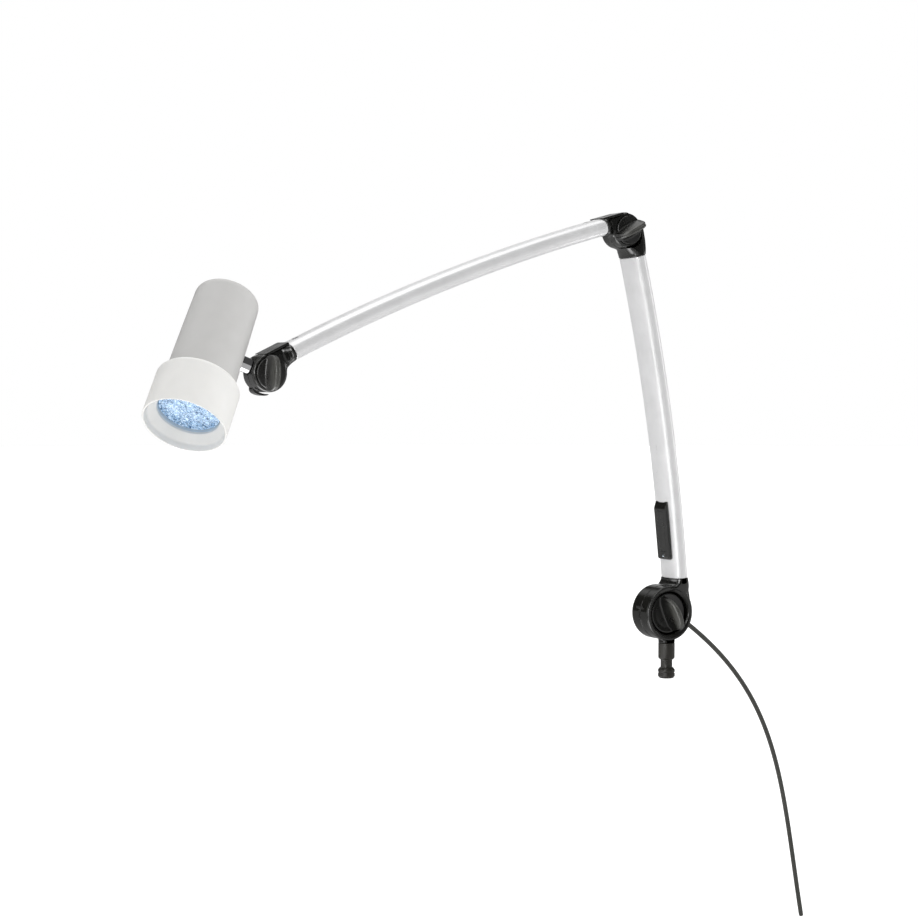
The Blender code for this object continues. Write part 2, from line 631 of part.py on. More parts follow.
# ---------------------------------------------------------------- head
# Heights run along HEAD_AXIS from the head's centre.
HEAD_FRAME = axis_frame(in_plane(HEAD_CENTRE), HEAD_AXIS, -STEM_RUN)
BODY_OUTLINE = [
    (0, -61.4), (19.4, -61.2), (24.2, -60.2), (27.2, -57.8), (28.7, -54.4), (29.2, -50.0),
    (29.8, -14.0), (30.3, 24.0), (30.3, 40.0), (28.3, 40.0), (28.3, 24.0), (26.9, -14.0),
    (25.4, -50.0), (24.0, -56.0), (20.0, -59.2), (0, -60.0)]
SHADE_OUTLINE = [
    (30.7, 36.8), (33.8, 36.8), (35.6, 37.4), (36.7, 38.8), (SHADE_R, 41.0), (SHADE_R, 82.4),
    (36.7, 83.4), (36.0, 83.4), (35.5, 82.6), (34.6, 79.0), (32.4, 74.6), (29.6, 72.0),
    (27.8, 71.0), (27.8, 64.0), (29.6, 64.0), (29.9, 68.4), (33.0, 71.2), (35.2, 74.6),
    (35.2, 41.4), (34.6, 39.6), (33.4, 38.8), (30.7, 38.8)]
HOLDER_OUTLINE = [(25.6, 47.2), (27.2, 47.2), (27.2, 67.2), (0, 67.2), (0, 65.2), (25.6, 65.2)]
LENS_OUTLINE = [(0, 55.0), (3.2, 54.4), (3.4, 50.2), (4.6, 50.2), (7.4, 54.6), (9.6, 60.0),
                (10.9, 66.6), (10.9, 67.4), (0, 67.4)]
CAPACITOR_OUTLINE = [(0, -36.1), (5.0, -36.1), (5.0, -22.6), (4.4, -22.0), (0, -22.0)]
LENS_COUNT = 3
LENS_CIRCLE = 13.6         # radius of the circle the LEDs and lenses sit on


def heat_sink_outline():
    """Core with four round fins and a front plate."""
    core, fin_r, first, pitch, thick = 10.0, 26.2, 16.0, 6.0, 2.0
    outline = [(0, 13.5), (core, 13.5)]
    for k in range(4):
        outline += sleeve(core, fin_r, first + k * pitch, first + k * pitch + thick)
    return outline + [(core, 41.0), (27.3, 41.0), (27.3, 45.0), (0, 45.0)]


def head_body():
    body = turned_piece("head_body", BODY_OUTLINE, 40, HEAD_FRAME, "light_grey", HEAD_CENTRE)
    hole = sleeve(0, STEM_R + 0.35, STEM_LENGTH - 45, STEM_LENGTH - 12)
    cut(body, "stem_hole", turned(hole, 28, STEM_FRAME))


def lens_group():
    """Holder with its LEDs and collimator lenses."""
    holder = turned_piece("lens_holder", HOLDER_OUTLINE, 36, HEAD_FRAME, "off_white",
                          HEAD_CENTRE)
    for k in range(LENS_COUNT):
        c, s = polar(90 + 360 / LENS_COUNT * k)
        frame = shifted(HEAD_FRAME, LENS_CIRCLE * c, LENS_CIRCLE * s)
        cut(holder, f"lens_hole_{k + 1}", turned(sleeve(0, 11.3, 60, 70), 24, frame))
        piece(f"led_{k + 1}", block(frame, span(3.5), span(3.5), (47.2, 49.7), 0.3), "led",
              HEAD_CENTRE)
        turned_piece(f"collimator_lens_{k + 1}", LENS_OUTLINE, 24, frame, "clear", HEAD_CENTRE)


def build_head():
    head_body()
    lens_group()
    bore = STEM_R + GAP
    socket = sleeve(bore, 11.0, STEM_LENGTH - 21.5, STEM_LENGTH + 5.5)
    retainer = sleeve(bore, 9.4, STEM_LENGTH + 5.8, STEM_LENGTH + 7.2)
    capacitor_frame = shifted(HEAD_FRAME, -8.0, 4.0)
    for name, outline, steps, frame, material in (
            ("head_shade", SHADE_OUTLINE, 44, HEAD_FRAME, "off_white"),
            ("shade_ring", sleeve(28.0, 34.6, 40.4, 43.6), 36, HEAD_FRAME, "aluminium"),
            ("heat_sink", heat_sink_outline(), 28, HEAD_FRAME, "aluminium"),
            ("led_board", sleeve(0, 26.4, 45.3, 46.9), 28, HEAD_FRAME, "off_white"),
            ("front_window", sleeve(0, 27.4, 67.9, 69.7), 40, HEAD_FRAME, "clear"),
            ("stem_socket", socket, 28, STEM_FRAME, "brass"),
            ("stem_retaining_ring", retainer, 24, STEM_FRAME, "steel"),
            ("driver_board", sleeve(0, 22.0, -38.0, -36.4), 28, HEAD_FRAME, "board"),
            ("driver_capacitor", CAPACITOR_OUTLINE, 16, capacitor_frame, "aluminium")):
        turned_piece(name, outline, steps, frame, material, HEAD_CENTRE)


build_base()
build_lower_arm()
build_upper_arm()
tension_knob("base", BASE_PIVOT, degrees=-65.6, **BASE_KNOB)
tension_knob("elbow", ELBOW_PIVOT, degrees=26.8, **SMALL_KNOB)
tension_knob("head", HEAD_PIVOT, degrees=88.0, **SMALL_KNOB)
build_head_hinge()
build_head()
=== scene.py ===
import json
import math
from collections import namedtuple

import bmesh
import bpy
import numpy as np
from mathutils import Matrix, Vector


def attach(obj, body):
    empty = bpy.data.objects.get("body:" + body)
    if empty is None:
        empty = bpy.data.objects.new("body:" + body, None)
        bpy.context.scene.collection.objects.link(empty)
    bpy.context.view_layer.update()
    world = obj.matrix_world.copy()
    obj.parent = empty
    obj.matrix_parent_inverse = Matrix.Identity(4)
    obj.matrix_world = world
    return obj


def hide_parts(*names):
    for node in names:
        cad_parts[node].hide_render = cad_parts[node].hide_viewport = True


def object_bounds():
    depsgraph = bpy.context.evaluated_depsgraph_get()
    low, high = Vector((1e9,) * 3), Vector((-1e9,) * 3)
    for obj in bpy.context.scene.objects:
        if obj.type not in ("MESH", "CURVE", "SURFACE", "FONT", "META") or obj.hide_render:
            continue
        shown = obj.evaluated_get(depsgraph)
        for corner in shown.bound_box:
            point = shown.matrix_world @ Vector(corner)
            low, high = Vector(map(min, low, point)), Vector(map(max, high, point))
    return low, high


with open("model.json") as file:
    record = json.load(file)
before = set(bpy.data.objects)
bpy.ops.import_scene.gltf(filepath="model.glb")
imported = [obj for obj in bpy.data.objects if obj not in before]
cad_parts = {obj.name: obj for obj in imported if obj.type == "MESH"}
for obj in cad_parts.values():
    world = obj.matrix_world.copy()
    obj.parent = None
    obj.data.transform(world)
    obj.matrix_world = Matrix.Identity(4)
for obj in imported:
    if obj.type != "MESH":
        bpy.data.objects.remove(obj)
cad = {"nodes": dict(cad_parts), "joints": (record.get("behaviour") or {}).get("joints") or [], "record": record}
CAD_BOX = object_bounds()
MM = 0.001
JOINTS = {joint["name"]: joint for joint in cad["joints"]}
RECORD = cad["record"]
BODY_OF = {node: body for body, nodes in RECORD["behaviour"]["bodies"].items() for node in nodes}
SLOT_OF = {part["node"]: part["material_slot"] for part in RECORD["subparts"]}


def pivot_of(joint):
    """A joint's (x, z) in the arm plane."""
    position = JOINTS[joint]["pos_m"]
    return position[0] / MM, position[2] / MM


# ------------------------------------------------------------------ driving dimensions
SETBACK = JOINTS["base_tilt"]["pos_m"][1] / MM
BASE, ELBOW, HEAD = pivot_of("base_tilt"), pivot_of("elbow_tilt"), pivot_of("head_tilt")
SWIVEL = pivot_of("head_swivel")

# Each arm follows a circle of radius BEND_R about an (x, z) centre, between two angles in degrees.
Arm = namedtuple("Arm", "centre start end")
BEND_R = 1998.0
LOWER = Arm((-1976.6, -67.1), 4.79, 14.05)
UPPER = Arm((443.9, -1483.9), 105.17, 115.32)
TUBE_X, TUBE_Y, WALL = 8.5, 17.0, 1.8     # half width in the arm plane, half depth, thickness
OVAL = 2.5                                # superellipse power of the tube's section
NECK = 8.9                                # half width of the caps' necks where they meet a tube

# Heights of turned hinge parts are distances in front of the arm plane.
SEAM = -1.15                              # between the base hub and the base cap
LIP = 11.6                                # front edge of the base hub's cup
BASE_R, CUP_R, RECESS_R = 27.0, 23.3, 21.5
HUB_R = 16.8                              # elbow and head hinge discs
DISC_BORE = 3.3
PIN_R = 8.2                               # upper part of the mounting pin
CORD_Y = 8.0
CORD = ((22.8, 59.8), (158.5, -29.8), (158.4, -120.3), (188.0, -269.5))   # Bezier (x, z) points
SWITCH_ANGLE, LAMP = 6.17, -25.2          # switch centre on the lower bend; lamp's place along it
HEAD_AXIS = Vector((-0.468, -0.427, -0.7735)).normalized()
LENS_R, LENS_ORBIT = 10.9, 13.6
CELL = 0.5        # grid step of the sculpted pieces


# ------------------------------------------------------------------ frames and stations
def in_plane(pair):
    return Vector((pair[0], 0.0, pair[1]))


def to_world(point):
    """Millimetres about the arm plane to metres in the frame."""
    return Vector((point[0] * MM, (point[1] + SETBACK) * MM, point[2] * MM))


def axis_frame(origin, axis, side):
    """Matrix in millimetres whose Z runs along axis and X towards side."""
    z = Vector(axis).normalized()
    side = Vector(side)
    x = (side - z * side.dot(z)).normalized()
    matrix = Matrix((x, z.cross(x), z)).transposed().to_4x4()
    matrix.translation = Vector(origin)
    return matrix


def hub_frame(pivot):
    """A hinge's frame, Z to the front."""
    return axis_frame(in_plane(pivot), (0, -1, 0), (1, 0, 0))


def arc_point(centre, degrees):
    angle = math.radians(degrees)
    return centre[0] + BEND_R * math.cos(angle), centre[1] + BEND_R * math.sin(angle)


def station(arm, degrees, way=1):
    """Point on a bend, direction along it (way -1 reverses it) and direction out of the bend."""
    angle = math.radians(degrees)
    cosine, sine = math.cos(angle), math.sin(angle)
    return arc_point(arm.centre, degrees), (-way * sine, way * cosine), (cosine, sine)


stem_vector = in_plane(SWIVEL) - in_plane(HEAD)
STEM = Vector((SWIVEL[0] - HEAD[0], 0, SWIVEL[1] - HEAD[1])).length
stem_way = Vector((SWIVEL[0] - HEAD[0], 0, SWIVEL[1] - HEAD[1])).normalized()
del stem_vector
stem_frame = axis_frame(in_plane(HEAD), stem_way, (0, 1, 0))
head_frame = axis_frame(in_plane(SWIVEL), HEAD_AXIS, -stem_way)
pin_frame = axis_frame((0.0, -SETBACK, 0.0), (0, 0, 1), (1, 0, 0))
cord_way = (CORD[1][0] - CORD[0][0], 0, CORD[1][1] - CORD[0][1])
cord_frame = axis_frame((CORD[0][0], CORD_Y, CORD[0][1]), cord_way, (0, 1, 0))


def lens_point(k, depth):
    """Point at a depth along the head on the axis of lens k."""
    angle = math.radians(90 + 120 * k)
    return head_frame @ Vector((LENS_ORBIT * math.cos(angle), LENS_ORBIT * math.sin(angle), depth))


# ------------------------------------------------------------------ node trees
class Graph:
    """A node tree built from short calls. An input may be a number, a tuple or a socket;
    input i2 is the one at index 2."""

    def __init__(self, owner, output="OutputMaterial"):
        owner.use_nodes = True
        self.owner, self.tree = owner, owner.node_tree
        self.tree.nodes.clear()
        self.output = self.node(output)

    def node(self, kind, props=None, **inputs):
        node = self.tree.nodes.new("ShaderNode" + kind)
        for key, value in (props or {}).items():
            setattr(node, key, value)
        for key, value in inputs.items():
            socket = node.inputs[int(key[1:]) if key[1:].isdigit() else key.replace("_", " ")]
            if isinstance(value, bpy.types.NodeSocket):
                self.tree.links.new(value, socket)
            else:
                socket.default_value = value
        return node

    def add(self, kind, props=None, **inputs):
        """A new node's first output."""
        return self.node(kind, props, **inputs).outputs[0]

    def math(self, operation, first, second, clamp=False):
        props = {"operation": operation, "use_clamp": clamp}
        return self.add("Math", props, i0=first, i1=second, i2=0.0)

    def plus(self, value, amount):
        return self.math("ADD", value, amount)

    def times(self, value, factor):
        return self.math("MULTIPLY", value, factor)

    def vector_math(self, operation, first, second=(0, 0, 0), output="Vector"):
        node = self.node("VectorMath", {"operation": operation}, i0=first, i1=second)
        return node.outputs[output]

    def scaled(self, vector, factor):
        return self.add("VectorMath", {"operation": "SCALE"}, i0=vector, Scale=factor)

    def distance(self, point, target):
        away = self.vector_math("SUBTRACT", point, target)
        return self.vector_math("LENGTH", away, output="Value")

    def mm(self):
        """The piece's own coordinates in millimetres."""
        return self.scaled(self.node("TexCoord").outputs["Object"], factor=1000.0)

    def part(self, vector, axis):
        return self.node("SeparateXYZ", Vector=vector).outputs[axis]

    def mapped(self, vector, scale, rotation=(0, 0, 0)):
        return self.add("Mapping", Vector=vector, Rotation=rotation, Scale=scale)

    def noise(self, vector, scale, detail=3.0, rough=0.55):
        return self.add("TexNoise", Vector=vector, Scale=scale, Detail=detail, Roughness=rough)

    def voronoi(self, vector, scale, feature="F1", output="Distance"):
        node = self.node("TexVoronoi", {"feature": feature}, Vector=vector, Scale=scale)
        return node.outputs[output]

    def spread(self, value, to=(0.0, 1.0), within=(0.3, 0.7), curve="LINEAR"):
        """Maps the range within onto the range to, held at both ends."""
        return self.add("MapRange", {"clamp": True, "interpolation_type": curve}, Value=value,
                        From_Min=within[0], From_Max=within[1], To_Min=to[0], To_Max=to[1])

    def mix(self, factor, first, second):
        node = self.node("Mix", {"data_type": "RGBA"}, i0=factor, i6=first, i7=second)
        return node.outputs[2]

    def bump(self, profile, depth, strength=1.0):
        return self.add("Bump", Height=profile, Distance=depth * MM, Strength=strength)

    def finish(self, shader):
        self.tree.links.new(shader, self.output.inputs["Surface"])
        return self.owner


def material_graph(name):
    return Graph(bpy.data.materials.new(name))


# ------------------------------------------------------------------ materials
def shade(colour, factor):
    return tuple(min(1.0, channel * factor) for channel in colour) + (1.0,)


def rub_marks(tree, point):
    """Faint rub marks: stretched noise turned two ways."""
    marks = []
    for turn in ((0.3, 0.2, 0.9), (1.1, 0.7, 0.1)):
        vector = tree.mapped(point, scale=(2.4, 0.05, 2.4), rotation=turn)
        marks.append(tree.spread(tree.noise(vector, scale=1.0, detail=1.0), within=(0.68, 0.76)))
    return tree.math("MAXIMUM", *marks)


def worn_and_highlit_edges(tree, point, amount):
    """How much an edge is lightened, as wear on most finishes and as painted highlight on some: edges found by
    bevelled normals, broken up by noise.
    """
    normal = tree.node("NewGeometry").outputs["Normal"]
    bevel = tree.add("Bevel", {"samples": 4}, Radius=0.0007)
    turned = tree.vector_math("DOT_PRODUCT", bevel, normal, output="Value")
    edge = tree.spread(tree.math("SUBTRACT", 1.0, turned), within=(0.02, 0.22))
    patches = tree.noise(point, scale=0.5, detail=3.0)
    edge = tree.times(edge, tree.spread(patches, to=(0.25, 1.0), within=(0.35, 0.6)))
    return tree.times(edge, factor=amount)


def surface(name, colour, rough, metal=0.0, grain=0.35, height=0.012, blotch=0.12, rough_var=0.07,
            edge_wear_and_highlight=0.0, edge_wear_and_highlight_colour=(0.2, 0.2, 0.19), coat=0.0, streak=0.0, specular=0.5,
            scratch=0.3, subsurface=0.0, fin=None):
    """Moulded, painted or machined surface with grain, slow drift, rub marks and lightened edges.

    grain and height are the bump's size and depth, blotch and rough_var the drift of colour and
    roughness, edge_wear_and_highlight and scratch the strength of the lightened edges and rub marks
    (the edges are wear on most finishes, painted highlight on the anodised tubes and partly on the
    black plastic), streak the drawn lines along the UV map, fin the painted-light colour of the knob
    fins, lighter toward their fronts as if lit.
    """
    tree = material_graph(name)
    point = tree.mm()
    slow = tree.noise(point, scale=1.0 / 14.0, detail=2.0)
    fine = tree.noise(point, scale=1.0 / grain, detail=2.0, rough=0.6)
    speck = tree.noise(point, scale=0.35 / grain, detail=4.0, rough=0.7)
    base = tree.mix(tree.spread(slow), shade(colour, 1.0 - blotch), shade(colour, 1.0 + blotch))
    specks = tree.times(tree.spread(speck, within=(0.45, 0.75)), factor=0.25)
    base = tree.mix(specks, base, shade(colour, 1.0 + 2.0 * blotch))
    roughness = tree.plus(rough, tree.spread(slow, to=(-rough_var, rough_var),
                                             within=(0.35, 0.65)))
    if fin:                                              # painted light: fins lighter the further they stand in front, as if lit; also a little rougher
        forward = tree.times(tree.part(point, "Y"), factor=-1.0)
        face = tree.spread(forward, within=(11.5, 17.0))
        base = tree.mix(face, base, (*fin, 1.0))
        roughness = tree.plus(roughness, tree.times(face, factor=0.12))
    rub = rub_marks(tree, point)
    roughness = tree.plus(roughness, tree.times(rub, factor=0.05 * scratch))
    # lightened edges: wear, and painted highlight where the edge colour stands in for glints
    if edge_wear_and_highlight:
        edge = worn_and_highlit_edges(tree, point, edge_wear_and_highlight)
        base = tree.mix(edge, base, (*edge_wear_and_highlight_colour, 1.0))
        roughness = tree.math("SUBTRACT", roughness, tree.times(edge, factor=0.10))
    relief = tree.plus(fine, tree.times(rub, factor=-0.06 * scratch))
    if streak:
        vector = tree.mapped(tree.add("UVMap"), scale=(2.2, 0.012, 1.0))
        line = tree.noise(vector, scale=1.0, detail=4.0, rough=0.65)
        relief = tree.plus(relief, tree.times(line, factor=2.0 * streak))
        roughness = tree.plus(roughness, tree.spread(line, to=(-0.06 * streak, 0.06 * streak)))
        lines = tree.times(tree.spread(line), factor=0.35 * streak)
        base = tree.mix(lines, base, shade(colour, 0.86))
    inner = {}
    if subsurface:
        inner = {"Subsurface_Weight": subsurface, "Subsurface_Radius": (0.002, 0.0018, 0.0015)}
    return tree.finish(tree.add(
        "BsdfPrincipled", Base_Color=base, Metallic=metal, Roughness=roughness,
        Normal=tree.bump(relief, depth=height), Specular_IOR_Level=specular, Coat_Weight=coat,
        Coat_Roughness=0.15, **inner))


def clear_acrylic():
    """Clear moulded optical plastic with a little flow haze."""
    tree = material_graph("clear_acrylic")
    flow = tree.noise(tree.mm(), scale=0.9, detail=3.0)
    return tree.finish(tree.add(
        "BsdfPrincipled", Base_Color=(0.80, 0.90, 1.0, 1.0),
        Roughness=tree.plus(0.03, tree.spread(flow, to=(0.0, 0.03))),
        Normal=tree.bump(flow, depth=0.05, strength=0.6), Transmission_Weight=1.0, IOR=1.49))


def front_glass():
    """Thin window: mostly see-through, with a sheen at grazing angles and a dusting of specks."""
    tree = material_graph("front_glass")
    point = tree.mm()
    clear = tree.add("BsdfTransparent", Color=(0.90, 0.95, 1.0, 1.0))
    haze = tree.spread(tree.noise(point, scale=0.3, detail=3.0), to=(0.02, 0.08))
    gloss = tree.add("BsdfGlossy", Color=(0.9, 0.95, 1.0, 1.0), Roughness=haze)
    front = tree.math("SUBTRACT", 1.0, tree.node("NewGeometry").outputs["Backfacing"])
    dust = tree.noise(point, scale=1.6, detail=4.0, rough=0.7)
    sheen = tree.plus(tree.times(tree.add("Fresnel", IOR=1.45), factor=0.45),
                      tree.spread(dust, to=(0.0, 0.04), within=(0.55, 0.75)))
    sheen = tree.math("MULTIPLY", sheen, front, clamp=True)
    return tree.finish(tree.add("MixShader", i0=sheen, i1=clear, i2=gloss))


# Colours of the micro-prisms from dark strokes to white painted sparkle highlights: (position, colour).
PRISM_RAMP = (
    (0.06, (0.020, 0.065, 0.15, 1)), (0.20, (0.06, 0.14, 0.25, 1)), (0.36, (0.20, 0.33, 0.48, 1)),
    (0.60, (0.37, 0.52, 0.68, 1)), (0.82, (0.66, 0.79, 0.88, 1)), (1.0, (1.0, 1.0, 1.0, 1)),
)
# Painted glow over the diodes, one bright spot for each lens: (brightness, radius).
PAINTED_DIODE_GLOW = ((0.75, 5.5), (0.35, 4.0), (0.35, 4.0))


def prism_optic():
    """Moulded micro-prisms: clear blue cells with dark strokes, painted sparkle highlights, painted glow over
    the diodes and a faint painted self-glow.
    """
    tree = material_graph("prism_optic")
    point = tree.mm()
    swirl = tree.node("TexNoise", Vector=point, Scale=0.35, Detail=2.0).outputs["Color"]
    warped = tree.vector_math("ADD", point, tree.scaled(swirl, factor=5.0))

    def prisms(axis, scale, stretch=None):
        vector = tree.mapped(warped, scale=stretch) if stretch else warped
        return tree.part(tree.voronoi(vector, scale, output="Color"), axis)

    cell = prisms("X", scale=0.34)
    chip = prisms("Y", scale=0.62, stretch=(1.0, 1.7, 0.8))
    value = tree.plus(tree.times(cell, factor=0.45), tree.times(chip, factor=0.62))
    edge = tree.voronoi(warped, scale=0.34, feature="DISTANCE_TO_EDGE")
    value = tree.plus(value, tree.spread(edge, to=(0.22, 0.0), within=(0.0, 0.06)))
    # painted glow: lighter round each diode
    for k, (brightness, radius) in enumerate(PAINTED_DIODE_GLOW):
        spot = lens_point(k, depth=66.5) + Vector((0.0, SETBACK, 0.0))
        away = tree.distance(point, tuple(spot))
        value = tree.plus(value, tree.spread(away, to=(brightness, 0.0), within=(0.8, radius)))
    # painted sparkle highlights in the brightest cells; the darkest cells give dark strokes
    glint_and_stroke_cells = prisms("Z", scale=1.05, stretch=(0.7, 1.0, 1.6))
    value = tree.plus(value, tree.spread(glint_and_stroke_cells, to=(0.0, 0.62), within=(0.72, 0.92)))
    dark = tree.spread(glint_and_stroke_cells, to=(0.40, 0.0), within=(0.05, 0.22))
    value = tree.math("SUBTRACT", value, dark)
    ramp = tree.node("ValToRGB", Fac=value)
    stops = ramp.color_ramp.elements
    for i in (0, -1):
        stops[i].position, stops[i].color = PRISM_RAMP[i]
    for position, colour in PRISM_RAMP[1:-1]:
        stops.new(position).color = colour
    tint = ramp.outputs[0]
    # painted glow: the optic emits its own tint though it is no lamp
    return tree.finish(tree.add(
        "BsdfPrincipled", Base_Color=tint, Roughness=0.12,
        Normal=tree.bump(value, depth=0.6, strength=0.7), Emission_Color=tint,
        Emission_Strength=0.20, Coat_Weight=0.4))


def led_phosphor():
    """Glowing yellow phosphor, a little uneven."""
    tree = material_graph("led_phosphor")
    dots = tree.spread(tree.noise(tree.mm(), scale=0.9, detail=2.0), to=(0.75, 1.25))
    return tree.finish(tree.add(
        "BsdfPrincipled", Base_Color=(0.9, 0.82, 0.35, 1.0), Roughness=0.4,
        Emission_Color=(0.70, 0.86, 1.0, 1.0), Emission_Strength=tree.times(dots, factor=9.0)))


def board_laminate():
    """Solder mask over copper tracks, with bare pads."""
    tree = material_graph("board_laminate")
    point = tree.mm()
    edge = tree.voronoi(point, scale=0.22, feature="DISTANCE_TO_EDGE")
    tracks = tree.spread(edge, to=(1.0, 0.0), within=(0.02, 0.05))
    pads = tree.spread(tree.voronoi(point, scale=0.45), to=(1.0, 0.0), within=(0.10, 0.14))
    base = tree.mix(tracks, (0.015, 0.12, 0.05, 1.0), (0.03, 0.24, 0.09, 1.0))
    base = tree.mix(pads, base, (0.75, 0.62, 0.30, 1.0))
    normal = tree.bump(tree.plus(tracks, pads), depth=0.05, strength=0.8)
    return tree.finish(tree.add("BsdfPrincipled", Base_Color=base, Roughness=0.35,
                                Metallic=tree.times(pads, factor=0.9), Normal=normal))


BLACK = (0.0062, 0.0062, 0.0050)
MATERIALS = {
    # lighter edges here are partly wear and partly painted highlight
    "black_plastic": surface(
        "black_satin_plastic", colour=BLACK, rough=0.22, grain=0.30, height=0.005, edge_wear_and_highlight=0.25,
        edge_wear_and_highlight_colour=(0.10, 0.10, 0.092), specular=1.0),
    # fin colour is painted light: the knob fins lighter toward their fronts, as if lit
    "knob_plastic": surface(
        "knob_satin_plastic", colour=BLACK, rough=0.30, grain=0.30, height=0.006, edge_wear_and_highlight=0.35,
        edge_wear_and_highlight_colour=(0.16, 0.16, 0.15), specular=1.0, fin=(0.062, 0.062, 0.055)),
    "black_gloss": surface(
        "black_gloss_plastic", colour=(0.008, 0.008, 0.0065), rough=0.10, grain=0.6, height=0.003,
        edge_wear_and_highlight=0.3, edge_wear_and_highlight_colour=(0.10, 0.10, 0.092), rough_var=0.04),
    # painted highlight: the near-white edge colour brightens edges and tube-end chamfers like glints
    "anodised": surface(
        "matt_anodised_aluminium", colour=(0.92, 0.92, 0.925), rough=0.33, metal=0.40, grain=0.22,
        height=0.006, blotch=0.03, streak=0.6, rough_var=0.03, edge_wear_and_highlight=0.8,
        edge_wear_and_highlight_colour=(0.97, 0.97, 0.97)),
    "light_grey": surface(
        "grey_powder_coat", colour=(0.56, 0.555, 0.545), rough=0.46, grain=0.55, height=0.014,
        blotch=0.02, edge_wear_and_highlight=0.2, edge_wear_and_highlight_colour=(0.75, 0.75, 0.73), coat=0.1, scratch=0.2),
    "off_white": surface(
        "white_satin_plastic", colour=(0.80, 0.795, 0.775), rough=0.44, grain=0.45, height=0.010,
        blotch=0.015, edge_wear_and_highlight=0.15, edge_wear_and_highlight_colour=(0.86, 0.86, 0.84), subsurface=0.08, scratch=0.2),
    "chrome": surface(
        "polished_chrome", colour=(0.86, 0.86, 0.87), rough=0.05, metal=1.0, grain=1.2,
        height=0.001, blotch=0.02, rough_var=0.02, scratch=0.5),
    "steel": surface(
        "turned_steel", colour=(0.50, 0.50, 0.51), rough=0.32, metal=1.0, grain=0.25,
        height=0.006, blotch=0.06, edge_wear_and_highlight=0.3, edge_wear_and_highlight_colour=(0.8, 0.8, 0.8)),
    "aluminium": surface(
        "machined_aluminium", colour=(0.66, 0.67, 0.68), rough=0.38, metal=1.0, grain=0.2,
        height=0.008, blotch=0.05, edge_wear_and_highlight=0.3, edge_wear_and_highlight_colour=(0.9, 0.9, 0.9)),
    "clear": clear_acrylic(),
    "board": board_laminate(),
    "led": led_phosphor(),
    "cable": surface(
        "cord_sheath", colour=(0.052, 0.052, 0.046), rough=0.48, grain=0.5, blotch=0.10,
        scratch=0.6),
    "brass": surface(
        "turned_brass", colour=(0.66, 0.46, 0.18), rough=0.30, metal=1.0, grain=0.25,
        height=0.006, blotch=0.10, edge_wear_and_highlight=0.3, edge_wear_and_highlight_colour=(0.9, 0.75, 0.4)),
    "fibre": surface(
        "friction_lining", colour=(0.22, 0.16, 0.11), rough=0.80, grain=0.4, height=0.05,
        blotch=0.25, edge_wear_and_highlight=0.2, edge_wear_and_highlight_colour=(0.35, 0.27, 0.2)),
    "facets": prism_optic(),
    "reflector": surface(
        "lens_carrier_gloss", colour=(0.50, 0.66, 0.88), rough=0.22, grain=0.8, height=0.010,
        blotch=0.10, coat=0.5, edge_wear_and_highlight=0.5, edge_wear_and_highlight_colour=(0.85, 0.93, 1.0)),
    "window": front_glass(),
    "pin": surface(
        "pin_satin_black", colour=(0.020, 0.0185, 0.0145), rough=0.34, grain=0.28, height=0.010,
        edge_wear_and_highlight=0.5, edge_wear_and_highlight_colour=(0.12, 0.105, 0.075)),
}


def set_material(piece, key):
    piece.data.materials.clear()
    piece.data.materials.append(MATERIALS[key])


for cad_node, cad_piece in cad["nodes"].items():
    set_material(cad_piece, "reflector" if cad_node == "lens_holder" else SLOT_OF[cad_node])


def dress(piece, node, material=None):
    """Gives a finished piece its material, its body and the CAD node it stands for."""
    piece.name = piece.data.name = node + "_look"
    set_material(piece, material or SLOT_OF[node])
    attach(piece, BODY_OF[node])
    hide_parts(node)


# ------------------------------------------------------------------ mesh helpers
def link(mesh, name):
    piece = bpy.data.objects.new(name, mesh)
    bpy.context.scene.collection.objects.link(piece)
    return piece


def link_bmesh(bm, name):
    mesh = bpy.data.meshes.new(name)
    bm.to_mesh(mesh)
    bm.free()
    return link(mesh, name)


def make(verts, faces, uvs=None, normals=None, sharp=38):
    """Smooth-shaded object; edges steeper than sharp degrees stay hard (0 marks none)."""
    mesh = bpy.data.meshes.new("piece")
    mesh.from_pydata([tuple(to_world(vert)) for vert in verts], [], faces)
    mesh.validate()
    if uvs is not None:
        layer = mesh.uv_layers.new(name="UVMap")
        for polygon in mesh.polygons:
            for i in polygon.loop_indices:
                layer.data[i].uv = uvs[mesh.loops[i].vertex_index]
    mesh.shade_smooth()
    if normals is not None:
        mesh.normals_split_custom_set_from_vertices(normals)
    elif sharp:
        mesh.set_sharp_from_angle(angle=math.radians(sharp))
    return link(mesh, "piece")


def fillet(outline, rounding, seg):
    """Rounds the corners of a closed outline of (radius, height[, rounding]) points.

    A point's own rounding wins over the common one; corners on the axis stay.
    """
    rounded = []
    for i, point in enumerate(outline):
        radius = point[2] if len(point) > 2 else rounding
        corner = Vector(point[:2])
        before = Vector(outline[i - 1][:2]) - corner
        after = Vector(outline[(i + 1) % len(outline)][:2]) - corner
        reach = 0.46 * before.length, 0.46 * after.length
        before.normalize()
        after.normalize()
        angle = before.angle(after)
        if point[0] < 1e-6 or radius <= 0 or angle > math.radians(172):
            rounded.append(point[:2])
            continue
        trim = min(radius / math.tan(angle / 2), *reach)
        radius = trim * math.tan(angle / 2)
        centre = corner + (before + after).normalized() * (radius / math.sin(angle / 2))
        first, last = corner + before * trim - centre, corner + after * trim - centre
        turn = math.atan2(first.x * last.y - first.y * last.x, first.dot(last))
        for k in range(seg + 1):
            cosine, sine = math.cos(turn * k / seg), math.sin(turn * k / seg)
            spoke = Vector((first.x * cosine - first.y * sine, first.x * sine + first.y * cosine))
            rounded.append(tuple(spoke + centre))
    return rounded


